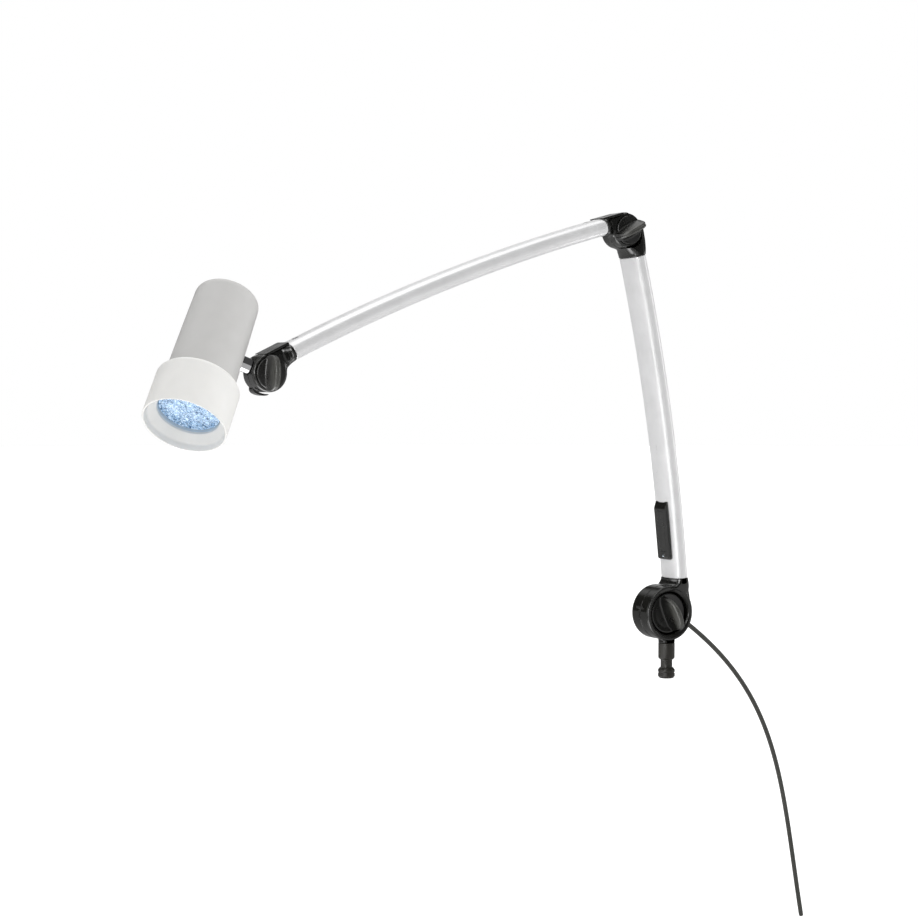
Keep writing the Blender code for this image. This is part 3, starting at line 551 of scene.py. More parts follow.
def lathe(outline, frame, steps=128, rounding=0.0, seg=5, wave=None, sharp=38):
    """Spins an outline round the frame's Z; wave(radius, height, angle) may add to a height."""
    points = fillet(outline, rounding, seg)
    area = sum(points[i - 1][0] * points[i][1] - points[i][0] * points[i - 1][1]
               for i in range(len(points)))
    if area < 0:
        points.reverse()
    verts, rows = [], []
    for radius, height in points:
        on_axis = radius < 1e-6
        first = len(verts)
        rows.append([first] * steps if on_axis else range(first, first + steps))
        for k in range(1 if on_axis else steps):
            angle = math.tau * k / steps
            lift = wave(radius, height, angle) if wave else 0
            verts.append(frame @ Vector((radius * math.cos(angle), radius * math.sin(angle),
                                         height + lift)))
    faces = []
    for i, row in enumerate(rows):
        after = rows[(i + 1) % len(rows)]
        if row[0] == row[-1] and after[0] == after[-1]:
            continue
        for k in range(steps):
            j = (k + 1) % steps
            face = list(dict.fromkeys((row[k], row[j], after[j], after[k])))
            if len(face) > 2:
                faces.append(face)
    return make(verts, faces, sharp=sharp)


def plug(frame, radius, low, high, steps):
    """Cutting tool: a plain cylinder, or a hexagon with six steps."""
    outline = [(0, low), (radius, low), (radius, high), (0, high)]
    return lathe(outline, frame, steps, sharp=0)


def band_faces(rings, around, closed):
    """Quads between successive rings of around vertices."""
    faces = []
    for i in range(rings if closed else rings - 1):
        near, far = i * around, (i + 1) % rings * around
        for k in range(around):
            j = (k + 1) % around
            faces.append((near + k, near + j, far + j, far + k))
    return faces


def fix_normals(piece):
    bm = bmesh.new()
    bm.from_mesh(piece.data)
    bmesh.ops.recalc_face_normals(bm, faces=bm.faces)
    bm.to_mesh(piece.data)
    bm.free()


def cut(piece, *tools):
    """Cuts the tools out of a piece, keeps the result as its own mesh and removes the tools."""
    for tool in tools:
        fix_normals(tool)
        boolean = piece.modifiers.new("cut", "BOOLEAN")
        boolean.operation, boolean.solver, boolean.object = "DIFFERENCE", "EXACT", tool
    bpy.context.view_layer.update()
    evaluated = piece.evaluated_get(bpy.context.evaluated_depsgraph_get())
    mesh = bpy.data.meshes.new_from_object(evaluated)
    piece.modifiers.clear()
    piece.data = mesh
    mesh.set_sharp_from_angle(angle=math.radians(38))
    for tool in tools:
        bpy.data.objects.remove(tool, do_unlink=True)
    return piece


def oval(half_x, half_y, steps):
    def bulge(half, value):
        return half * math.copysign(abs(value) ** (2 / OVAL), value)

    angles = [math.tau * k / steps for k in range(steps)]
    return [(bulge(half_x, math.cos(angle)), bulge(half_y, math.sin(angle))) for angle in angles]


END_LIP = ((0.0, -0.42), (0.12, -0.20), (0.40, -0.03), (0.7, 0.0))   # (distance in, offset)


def bend_tube(arm):
    """Oval tube rolled to the bend, with slightly rounded ends; u mirrors round, v runs along."""
    around, steps, inner_steps, u_span = 112, 72, 24, 84.0
    start, end = arm.start, arm.end
    per_mm = math.degrees(1.0 / BEND_R)
    # (degrees, offset from the outside), up the outside and back down the inside
    rings = [(start + inset * per_mm, offset) for inset, offset in END_LIP]
    rings += [(start + (end - start) * k / steps, 0.0) for k in range(1, steps)]
    rings += [(end - inset * per_mm, offset) for inset, offset in reversed(END_LIP)]
    rings += [(end, -WALL + 0.25), (end - 0.3 * per_mm, -WALL)]
    rings += [(end + (start - end) * k / inner_steps, -WALL) for k in range(1, inner_steps)]
    rings += [(start + 0.3 * per_mm, -WALL), (start, -WALL + 0.25)]
    verts, uvs = [], []
    for degrees, offset in rings:
        angle = math.radians(degrees)
        centre = arc_point(arm.centre, degrees)
        for k, (x, y) in enumerate(oval(TUBE_X + offset, TUBE_Y + offset, around)):
            verts.append((centre[0] + x * math.cos(angle), y, centre[1] + x * math.sin(angle)))
            uvs.append((u_span * abs(2.0 * k / around - 1.0), angle * BEND_R))
    tube = make(verts, band_faces(len(rings), around, closed=True), uvs)
    fix_normals(tube)
    return tube


def sweep(points, radius, around):
    """Round cord through the points, with domed ends; u mirrors round, v runs along."""
    u_span, v_step = 14.0, 3.0
    points = [Vector(point) for point in points]
    rings = []                                # (point, direction, side, other side, radius)
    for i, point in enumerate(points):
        way = (points[min(i + 1, len(points) - 1)] - points[max(i - 1, 0)]).normalized()
        back = Vector((0, 1, 0))
        side = (back - way * back.dot(way)).normalized()
        rings.append((point, way, side, way.cross(side), radius))

    def dome(ring, sign):
        point, way, side, across, size = ring
        return [(point + way * (sign * 0.5 * size * math.sin(angle)), way, side, across,
                 size * math.cos(angle)) for angle in (0.5, 0.95, 1.3)]

    rings = dome(rings[0], -1)[::-1] + rings + dome(rings[-1], 1)
    verts, uvs = [], []
    for i, (point, _, side, across, size) in enumerate(rings):
        for k in range(around):
            angle = math.tau * k / around
            verts.append(point + side * (size * math.cos(angle))
                         + across * (size * math.sin(angle)))
            uvs.append((u_span * abs(2.0 * k / around - 1.0), i * v_step))
    faces = band_faces(len(rings), around, closed=False)
    faces.append(tuple(range(around)))
    faces.append(tuple(range((len(rings) - 1) * around, len(rings) * around)))
    cord = make(verts, faces, uvs, sharp=50)
    fix_normals(cord)
    return cord


# ------------------------------------------------------------------ distance fields
# A field takes arrays x, y, z and gives signed distances, negative inside.
def smin(first, second, blend):
    """Union with a smooth blend."""
    share = np.clip(0.5 + 0.5 * (second - first) / blend, 0.0, 1.0)
    return second * (1 - share) + first * share - blend * share * (1 - share)


def smax(first, second, blend):
    """Intersection with a smooth blend."""
    return -smin(-first, -second, blend)


def turned_field(outline, pivot):
    """A body of revolution about a hinge axis, read from a table of distances."""
    low, high, reach, step = -40.0, 40.0, 44.0, 0.125
    points = np.array(fillet(outline, rounding=0.0, seg=4), float)
    radii, heights = np.arange(0.0, reach, step), np.arange(low, high, step)
    R, H = np.meshgrid(radii, heights, indexing="ij")
    nearest, inside = np.full(R.shape, 1e9), np.zeros(R.shape, bool)
    for i in range(len(points)):
        start, end = points[i - 1], points[i]
        edge = end - start
        if start[0] >= 1e-6 or end[0] >= 1e-6:
            share = ((R - start[0]) * edge[0] + (H - start[1]) * edge[1]) / max(edge @ edge, 1e-12)
            share = np.clip(share, 0, 1)
            nearest = np.minimum(nearest, np.hypot(R - start[0] - edge[0] * share,
                                                   H - start[1] - edge[1] * share))
        crossing = (start[1] > H) != (end[1] > H)
        with np.errstate(divide="ignore", invalid="ignore"):
            edge_r = (end[0] - start[0]) * (H - start[1]) / (end[1] - start[1]) + start[0]
            inside ^= crossing & (R < edge_r)
    table = np.where(inside, -nearest, nearest)

    def field(x, y, z):
        column = np.hypot(x - pivot[0], z - pivot[1]) / step
        column = np.clip(column, 0, len(radii) - 1.001)
        row = np.clip((-y - low) / step, 0, len(heights) - 1.001)
        i, j = column.astype(np.int32), row.astype(np.int32)
        u, v = column - i, row - j
        return (table[i, j] * (1 - u) * (1 - v) + table[i + 1, j] * u * (1 - v)
                + table[i, j + 1] * (1 - u) * v + table[i + 1, j + 1] * u * v)
    return field


def superellipse(u, v, half_u, half_v, power):
    """Signed distance, to first order, from a superellipse."""
    u, v = np.abs(u) / half_u, np.abs(v) / half_v
    total = np.maximum(u ** power + v ** power, 1e-9)
    scale = total ** (1 / power - 1)
    slope = np.hypot(scale * u ** (power - 1) / half_u, scale * v ** (power - 1) / half_v)
    return (total ** (1 / power) - 1) / np.maximum(slope, 1e-6)


def neck_field(sections, start, along, outward):
    """A cap's neck: superellipse sections blended smoothly along the arm.

    Section columns: distance, growth over NECK out of the bend and into it, front y, rear y, power.
    """
    knots = np.array(sections, float)
    knots[:, 1] = NECK + knots[:, 1]
    knots[:, 2] = -NECK - knots[:, 2]
    stops = knots[:, 0]
    slopes = np.gradient(knots, stops, axis=0)
    fine = np.linspace(stops[0], stops[-1], 160)
    k = np.clip(np.searchsorted(stops, fine, side="right") - 1, 0, len(stops) - 2)
    width = stops[k + 1] - stops[k]
    t = ((fine - stops[k]) / width)[:, None]
    width = width[:, None]
    curve = ((2 * t ** 3 - 3 * t ** 2 + 1) * knots[k] + (t ** 3 - 2 * t ** 2 + t) * width * slopes[k]
             + (-2 * t ** 3 + 3 * t ** 2) * knots[k + 1] + (t ** 3 - t ** 2) * width * slopes[k + 1])

    def field(x, y, z):
        dx, dz = x - start[0], z - start[1]
        distance = dx * along[0] + dz * along[1]
        offset = dx * outward[0] + dz * outward[1]
        outer, inner, front, rear, power = (np.interp(distance, fine, curve[:, column])
                                            for column in range(1, 6))
        section = superellipse(offset - (outer + inner) / 2, y - (front + rear) / 2,
                               (outer - inner) / 2, (rear - front) / 2, power)
        return smax(section, np.maximum(stops[0] - distance, distance - stops[-1]), 0.7)
    return field


def local(frame):
    """Function turning x, y, z into a frame's own coordinates."""
    rows = np.array(frame.inverted())
    return lambda x, y, z: tuple(rows[i][0] * x + rows[i][1] * y + rows[i][2] * z + rows[i][3]
                                 for i in range(3))


def rounded_box(frame, half, edge):
    to_local = local(frame)

    def field(x, y, z):
        gaps = [np.abs(value) - size + edge for value, size in zip(to_local(x, y, z), half)]
        outside = np.sqrt(sum(np.maximum(gap, 0) ** 2 for gap in gaps))
        return outside + np.minimum(np.maximum(gaps[0], np.maximum(gaps[1], gaps[2])), 0) - edge
    return field


# The twelve edges of a grid cell: (start corner, end corner).
EDGES = [tuple((i, j)[:axis] + (end,) + (i, j)[axis:] for end in (0, 1))
         for axis in range(3) for j in (0, 1) for i in (0, 1)]


def sculpt(field, low, high, cell=CELL):
    """Skins a field with quads pulled onto the surface; normals come from the field."""
    low = np.array(low, float) - 2.03 * cell
    size = np.ceil((np.array(high, float) + 2 * cell - low) / cell).astype(int) + 1
    axes = [low[i] + cell * np.arange(size[i]) for i in range(3)]
    values = field(*np.meshgrid(*axes, indexing="ij"))
    values[np.abs(values) < 1e-5] = 1e-5
    inside = values < 0
    corners = sum(inside[i:size[0] - 1 + i, j:size[1] - 1 + j, k:size[2] - 1 + k].astype(np.int8)
                  for i in (0, 1) for j in (0, 1) for k in (0, 1))
    active = (corners > 0) & (corners < 8)
    index = np.full(active.shape, -1, np.int64)
    index[active] = np.arange(active.sum())

    # one vertex in each crossed cell, at the mean of its edge crossings
    cells = np.stack(np.nonzero(active), 1)
    total, hits = np.zeros((len(cells), 3)), np.zeros(len(cells))
    for start, end in np.array(EDGES):
        first, last = values[tuple((cells + start).T)], values[tuple((cells + end).T)]
        mask = (first < 0) != (last < 0)
        share = (first[mask] / (first[mask] - last[mask]))[:, None]
        total[mask] += start + (end - start) * share
        hits[mask] += 1
    verts = low + (cells + total / hits[:, None]) * cell

    # one quad round each crossed grid edge
    quads = []
    for axis in range(3):
        second, third = (axis + 1) % 3, (axis + 2) % 3
        near, far = [slice(1, -1)] * 3, [slice(1, -1)] * 3
        near[axis], far[axis] = slice(0, -1), slice(1, None)
        near, far = inside[tuple(near)], inside[tuple(far)]
        spots = np.stack(np.nonzero(near != far), 1)
        flip = ~near[tuple(spots.T)]
        spots[:, second] += 1
        spots[:, third] += 1
        step_b, step_c = np.eye(3, dtype=int)[second], np.eye(3, dtype=int)[third]
        quad = np.stack([index[tuple((spots - step).T)]
                         for step in (step_b + step_c, step_c, 0 * step_b, step_b)], 1)
        quad[flip] = quad[flip][:, ::-1]
        quads.append(quad)

    def gradient(points, reach):
        steps = reach * np.eye(3)
        return np.stack([(field(*(points + step).T) - field(*(points - step).T)) / (2 * reach)
                         for step in steps], 1)

    def limited(offset, most):
        length = np.linalg.norm(offset, axis=1, keepdims=True)
        return offset * np.minimum(1.0, most / np.maximum(length, 1e-9))

    placed = verts
    for _ in range(3):
        slope = gradient(verts, 0.08)
        steepness = np.maximum((slope * slope).sum(1), 0.05)
        step = (field(*verts.T) / steepness)[:, None] * slope
        verts = verts - limited(step, 0.4 * cell)
        verts = placed + limited(verts - placed, 0.5 * cell)
    normals = gradient(verts, 0.12)
    normals /= np.maximum(np.linalg.norm(normals, axis=1, keepdims=True), 1e-9)
    return make(verts.tolist(), np.concatenate(quads).tolist(), normals=normals.tolist())


# ------------------------------------------------------------------ base: pin, hub, cover, cord
# Outlines are (radius, height[, rounding]).
PIN = [(0, 0), (6.9, 0, .5), (8.4, 1.7, .9), (8.4, 4.5, .3), (7.9, 4.9, .2), (7.9, 5.9, .2),
       (8.4, 6.3, .3), (8.4, 8.3, .9), (6.9, 10.3, .8), (5.85, 10.6, 1.2), (5.85, 18.4, 1.0),
       (6.9, 18.8, .5), (PIN_R, 20.4, .9), (PIN_R, 34.9, .3), (7.8, 35.3, .3), (0, 35.3)]
HUB = [(4.3, SEAM - 1.5, .1), (20.3, SEAM - 1.5, .1), (20.3, SEAM - 0.2, .1),
       (CUP_R + 0.3, SEAM - 0.2, .1), (CUP_R + 0.3, LIP - 0.3, .3), (BASE_R, LIP - 0.3, .7),
       (BASE_R, 0.6, .2), (26.45, 0.35, .1), (26.45, -0.55, .1), (BASE_R, -0.8, .2),
       (BASE_R, -14.0, .7), (22.0, -14.0, .3), (22.0, SEAM - 4.5, .4), (4.3, SEAM - 4.5, .3)]
HUB_ROOM = [(0, SEAM - 0.1), (CUP_R + 0.2, SEAM - 0.1), (CUP_R + 0.2, LIP - 0.2),
            (27.4, LIP - 0.2), (27.4, 36), (0, 36)]
BACK_COVER = [(0, -15.9), (9.6, -15.9), (10.2, -15.4), (21.8, -15.4), (22.4, -15.9),
              (25.8, -15.9), (26.9, -14.3), (21.7, -14.3), (21.7, -11.6), (19.7, -11.6),
              (19.7, -13.6), (0, -13.6)]


def base_hub():
    """Cup behind the base cap, on a boss that takes the pin, with the cord's exit."""
    body, room = turned_field(HUB, BASE), turned_field(HUB_ROOM, BASE)
    in_pin, in_cord = local(pin_frame), local(cord_frame)
    # a latch in the left side wall: a short bar across the joint line and a slot below it
    latch = axis_frame((BASE[0] - BASE_R, 0.0, BASE[1]), (-1, 0, 0), (0, 0, 1))
    bar, slot, tongue = (
        rounded_box(latch @ Matrix.Translation(centre), half, edge) for centre, half, edge in (
            ((6.2, 1.0, 0.0), (1.3, 5.6, 0.55), 0.35),
            ((-0.6, 1.4, 0.0), (5.4, 1.25, 0.9), 0.4),
            ((-1.0, 1.4, -0.7), (3.6, 0.6, 0.55), 0.3)))

    def field(x, y, z):
        side, across, height = in_pin(x, y, z)
        ends = np.maximum(35.6 - height, height - 42.0)
        solid = smin(body(x, y, z), smax(np.hypot(side, across) - PIN_R, ends, 0.5), 1.0)
        solid = smax(solid, -room(x, y, z), 0.3)
        side, across, along = in_cord(x, y, z)
        solid = smax(solid, -np.maximum(np.hypot(side, across) - 3.6, -5 - along), 0.5)
        solid = smax(solid, -slot(x, y, z), 0.25)
        solid = smin(solid, tongue(x, y, z), 0.25)
        return smin(solid, bar(x, y, z), 0.3)

    dress(sculpt(field, low=(-29, -13, 34), high=(29, 15, 93), cell=CELL * 0.9), "base_hub")


def power_cable():
    points = []
    for k in range(181):
        t = k / 180
        weights = ((1 - t) ** 3, 3 * t * (1 - t) ** 2, 3 * t * t * (1 - t), t ** 3)
        x, z = (sum(weight * knot[i] for weight, knot in zip(weights, CORD)) for i in (0, 1))
        points.append((x, CORD_Y, z))
    dress(sweep(points, radius=2.35, around=28), "power_cable")


def cable_grommet():
    """Collar and three tapering ribs round the cord."""
    outline = [(2.8, 0.5), (3.3, 0.5), (3.3, 6.3), (4.9, 6.3), (4.9, 7.4), (4.2, 7.8)]
    for k in range(3):
        outline += [(4.5 - 0.2 * k, 8.2 + k * 1.1), (3.9 - 0.2 * k, 8.7 + k * 1.1)]
    outline += [(3.4, 11.5), (2.8, 11.5)]
    dress(lathe(outline, cord_frame, steps=72, rounding=0.2, seg=3), "cable_grommet")


# ------------------------------------------------------------------ caps
# Neck sections, columns as in neck_field.
BASE_NECK = [
    (0.3, 0.0, 0.0, -17.3, 17.3, 2.5), (3.0, 0.2, 0.5, -17.3, 17.3, 2.7),
    (5.2, 0.4, 1.9, -17.1, 17.2, 3.0), (7.2, 0.6, 4.2, -16.6, 17.1, 3.4),
    (9.4, 0.8, 8.0, -15.9, 17.0, 4.0), (13.0, 1.1, 12.0, -14.9, 17.0, 4.0),
    (20.0, 1.8, 12.0, -13.5, 17.0, 5.0), (30.0, 2.4, 12.0, -13.2, 17.0, 5.0)]
REAR_NECK = [
    (0.3, 0.0, 0.0, -17.3, 17.3, 2.5), (3.0, 0.7, 0.0, -17.2, 17.2, 2.7),
    (6.0, 1.6, 0.9, -16.6, 16.0, 3.0), (9.5, 2.7, 2.6, -15.2, 13.2, 3.4),
    (13.0, 3.9, 5.2, -13.4, 11.4, 4.0), (19.0, 5.9, 5.0, -10.8, 10.9, 4.0),
    (29.0, 7.6, -4.0, -8.0, 10.6, 4.0)]

BASE_DISC = [(0, SEAM + 0.2), (CUP_R, SEAM + 0.2, .4), (CUP_R, LIP, .1), (BASE_R, LIP, .35),
             (BASE_R, 13.6, 2.0), (0, 13.6)]
BASE_BOWL = [(0, 3.0), (RECESS_R, 3.0, 2.0), (RECESS_R, 11.2, 2.0), (RECESS_R + 2.9, 14.2),
             (RECESS_R + 2.9, 40), (0, 40)]
BASE_ROOM = [(0, -40), (27.4, -40), (27.4, LIP), (CUP_R, LIP), (CUP_R, SEAM + 0.2),
             (0, SEAM + 0.2)]
REAR_DISC = [(DISC_BORE, -1.5, .1), (12.3, -1.5, .1), (12.3, -0.2, .1), (HUB_R, -0.2, .4),
             (HUB_R, -11.4, 1.4), (7.0, -11.4, .5), (7.0, -7.0, .3), (DISC_BORE, -7.0, .2)]
REAR_DISH = [(0, -30), (7.0, -30), (7.0, -7.0), (0, -7.0)]
REAR_ROOM = [(0, -1.5), (12.3, -1.5), (12.3, -0.2), (HUB_R + 0.4, -0.2), (HUB_R + 0.4, 40),
             (0, 40)]
FRONT_DISC = [(DISC_BORE, 0.2, .2), (HUB_R, 0.2, .4), (HUB_R, 11.5, 3.0), (DISC_BORE, 11.5, .3)]
FRONT_DISH = [(0, 11.2), (13.9, 11.2, .3), (14.5, 30), (0, 30)]
FRONT_ROOM = [(0, -40), (HUB_R + 0.4, -40), (HUB_R + 0.4, 0.2), (0, 0.2)]


def base_cap():
    disc, bowl, room = (turned_field(outline, BASE)
                        for outline in (BASE_DISC, BASE_BOWL, BASE_ROOM))
    neck = neck_field(BASE_NECK, *station(LOWER, LOWER.start, way=-1))
    in_cord = local(cord_frame)
    lean = math.radians(24.3)
    cosine, sine = math.cos(lean), math.sin(lean)

    def field(x, y, z):
        solid = smin(disc(x, y, z), neck(x, y, z), 2.6)
        solid = smax(solid, -bowl(x, y, z), 1.2)
        solid = smax(solid, -room(x, y, z), 0.3)
        # clearance for the grommet and cord with the arm leaned fully toward them
        dx, dz = x - BASE[0], z - BASE[1]
        side, across, along = in_cord(BASE[0] + dx * cosine + dz * sine, y,
                                      BASE[1] - dx * sine + dz * cosine)
        radius = np.where(along < 8.5, 5.15, np.where(along < 12.0, 4.1, 3.3))
        clearance = np.maximum(np.hypot(side, across) - radius, 6.0 - along)
        return np.maximum(np.maximum(solid, -clearance), 4.3 - np.hypot(dx, dz))

    dress(sculpt(field, low=(-28, -16, 37), high=(33, 18, 101)), "lower_arm_base_cap")


def small_cap(node, pivot, start, neck, outlines, plate=None):
    """Disc, dish and clearance outlines about a hinge, joined to a neck and an optional plate."""
    disc, dish, room = (turned_field(outline, pivot) for outline in outlines)

    def field(x, y, z):
        solid = smin(disc(x, y, z), smax(neck(x, y, z), -room(x, y, z), 0.3), 2.2)
        if plate:
            solid = smin(solid, smax(plate(x, y, z), -room(x, y, z), 0.3), 0.5)
        solid = smax(solid, -room(x, y, z), 0.25)
        solid = smax(solid, -dish(x, y, z), 0.5)
        return np.maximum(solid, DISC_BORE - np.hypot(x - pivot[0], z - pivot[1]))

    pad = 19.0
    low = (min(pivot[0], start[0]) - pad, -pad, min(pivot[1], start[1]) - pad)
    high = (max(pivot[0], start[0]) + pad, pad, max(pivot[1], start[1]) + pad)
    dress(sculpt(field, low, high), node)


def rear_cap(node, pivot, place):
    small_cap(node, pivot, place[0], neck_field(REAR_NECK, *place),
              (REAR_DISC, REAR_DISH, REAR_ROOM))


def front_cap(node, pivot, place, length, crown):
    """Cap with its disc in front and a flat plate at crown out of the bend."""
    start, toward, outward = place
    growth = crown - NECK
    sections = [
        (0.3, 0.0, 0.0, -17.3, 17.3, 2.5), (2.4, 0.0, 0.0, -17.2, 17.2, 2.7),
        (length * 0.20, growth / 2, 0.9, -14.4, 14.4, 3.0),
        (length * 0.32, growth, 2.6, -11.2, 11.2, 3.4),
        (length * 0.46, growth, 5.2, -10.9, 10.9, 4.0),
        (length * 0.80, growth, 5.0, -10.8, 10.8, 4.5),
        (length * 1.08, growth, -4.0, -10.6, 10.6, 5.0)]
    centre = [start[i] + toward[i] * 12.9 + outward[i] * crown for i in (0, 1)]
    plate_frame = axis_frame(in_plane(centre), in_plane(outward), in_plane(toward))
    plate = rounded_box(plate_frame, half=(12.5, 11.6, 1.0), edge=0.4)
    small_cap(node, pivot, start, neck_field(sections, *place),
              (FRONT_DISC, FRONT_DISH, FRONT_ROOM), plate)


# ------------------------------------------------------------------ tension knobs
BASE_KNOB = [(0, 5.4), (19.8, 5.4, .6), (19.8, 9.6, .8), (18.4, 9.8, .8), (14.5, 8.4, 2.0),
             (0, 8.2)]
SMALL_KNOB = [(0, 11.7), (13.9, 11.7, .4), (14.1, 14.1, 1.3), (0, 14.5)]


def knob(node, pivot, outline, degrees, fin, thickness, bore, reach, heights):
    """Disc with a grooved pinch fin turned by degrees.

    fin is (half length, low, high), thickness half that of the fin at (crest, root), bore
    (radius, depth); reach and heights bound the grid.
    """
    disc = turned_field(outline, pivot)
    half, low, high = fin
    crest, root = thickness
    turn = math.radians(degrees)
    cosine, sine = math.cos(turn), math.sin(turn)

    def field(x, y, z):
        dx, dz, height = x - pivot[0], z - pivot[1], -y
        along, across = dx * cosine + dz * sine, np.abs(-dx * sine + dz * cosine)
        rise = np.clip((height - low) / (high - low), 0, 1)
        rim = superellipse(along, height - low, half, high - low, power=2.6)
        wide = crest + (root - crest) * (1 - rise) ** 1.7
        taper = np.sqrt(np.clip(1 - 0.75 * (along / half) ** 2, 0.05, 1))
        wide = wide * taper * 0.92 + 0.08 * wide
        blade = smax(smax(rim, low - 2.0 - height, 0.4), (across - wide) * 0.85, 1.5)
        groove = np.maximum(across - 0.55, -(rim + 0.6))
        solid = smin(disc(x, y, z), smax(blade, -groove, 0.35), 1.6)
        return smax(solid, -np.maximum(np.hypot(dx, dz) - bore[0], height - bore[1]), 0.2)

    piece = sculpt(field, (pivot[0] - reach, -heights[1], pivot[1] - reach),
                   (pivot[0] + reach, -heights[0], pivot[1] + reach), CELL * 0.8)
    dress(piece, node, "knob_plastic")


def tension_knobs():
    knob("base_tension_knob", BASE, BASE_KNOB, degrees=-65.6, fin=(18.4, 7.4, 30.2),
         thickness=(2.5, 5.0), bore=(4.3, 10.1), reach=20.5, heights=(4.8, 31.2))
    for joint, pivot, degrees in (("elbow", ELBOW, 26.8), ("head", HEAD, 88.0)):
        knob(joint + "_tension_knob", pivot, SMALL_KNOB, degrees, fin=(16.1, 13.3, 28.2),
             thickness=(2.6, 6.8), bore=(DISC_BORE, 15.8), reach=17.0, heights=(11.0, 28.8))


# ------------------------------------------------------------------ head hinge, stem, axles
# Outer and inner edge of the lug below the head hinge: (degrees round the hinge, radius).
LUG_OUT = np.array([(-131, 17.6), (-126, 19.2), (-119, 19.9), (-112, 20.0), (-94, 20.0),
                    (-86, 19.9), (-79, 19.6), (-76, 19.3)])
LUG_IN = np.array([(-131, 15.6), (-119, 15.8), (-115, 16.6), (-112, 17.3), (-103, 17.7),
                   (-94, 18.0), (-86, 18.4), (-76, 19.1)])


def head_hinge():
    """Rear disc with a lug round its lower edge and a bore for the stem."""
    disc, in_stem = turned_field(REAR_DISC, HEAD), local(stem_frame)

    def field(x, y, z):
        dx, dz = x - HEAD[0], z - HEAD[1]
        radius, angle = np.hypot(dx, dz), np.degrees(np.arctan2(dz, dx))
        lug = smax(radius - np.interp(angle, *LUG_OUT.T), np.interp(angle, *LUG_IN.T) - radius, 0.4)
        lug = smax(lug, np.maximum(-131 - angle, angle + 77) * 0.33, 0.8)
        lug = smax(lug, np.abs(y - 6.1) - 4.5, 0.5)
        solid = smin(disc(x, y, z), lug, 0.9)
        side, across, along = in_stem(x, y, z)
        return smax(solid, -np.maximum(np.hypot(side, across) - 7.3, 12.9 - along), 0.5)

    dress(sculpt(field, low=(HEAD[0] - 19, -3, HEAD[1] - 21.5),
                 high=(HEAD[0] + 19, 13, HEAD[1] + 19)), "head_hinge")


def head_stem():
    """Hollow stem, milled away on its front side where it passes the hinge discs."""
    outline = [(3.2, 13.2), (7.0, 13.2), (7.0, STEM + 9.0), (3.2, STEM + 9.0)]
    stem = lathe(outline, stem_frame, rounding=0.4)
    bm = bmesh.new()
    bmesh.ops.create_cube(bm, size=1.0)
    for vert in bm.verts:
        x, y, z = vert.co
        corner = (-20.0 if x < 0 else 0.5, 20.0 if y > 0 else -20.0, 5.0 if z < 0 else HUB_R + 0.6)
        vert.co = to_world(stem_frame @ Vector(corner))
    dress(cut(stem, link_bmesh(bm, "mill")), "head_stem")


def axle(node, pivot):
    frame = hub_frame(pivot)
    outline = [(0, 15.4), (2.6, 15.4), (3.0, 14.9), (3.0, -7.3), (6.5, -7.3), (6.5, -10.4),
               (0, -10.4)]
    piece = lathe(outline, frame, steps=72, rounding=0.35, seg=3)
    dress(cut(piece, plug(frame, radius=2.8, low=-12.0, high=-8.2, steps=6)), node)


# ------------------------------------------------------------------ tubes and screws
SCREW_INSET = 0.34        # degrees of bend from a tube's end
SCREW_HOLE = [(0, 4), (1.9, 4), (1.9, 6.9), (3.3, 8.3), (3.3, 12), (0, 12)]
SCREW = [(0, 3.8), (1.5, 3.8), (1.5, 6.9), (2.9, 8.25), (2.9, 8.45), (0, 8.45)]


def arm_tube(name, arm):
    """A tube with a countersunk hex-socket screw near each end, out of the bend."""
    tube = bend_tube(arm)
    holes = []
    for number, degrees in enumerate((arm.start + SCREW_INSET, arm.end - SCREW_INSET), 1):
        point, _, outward = station(arm, degrees)
        frame = axis_frame(in_plane(point), in_plane(outward), (0, 1, 0))
        holes.append(lathe(SCREW_HOLE, frame, steps=48, sharp=0))
        screw = lathe(SCREW, frame, steps=48, rounding=0.12, seg=2)
        socket = plug(frame, radius=1.3, low=7.3, high=12.0, steps=6)
        dress(cut(screw, socket), f"{name}_screw_{number}")
    dress(cut(tube, *holes), name + "_tube")


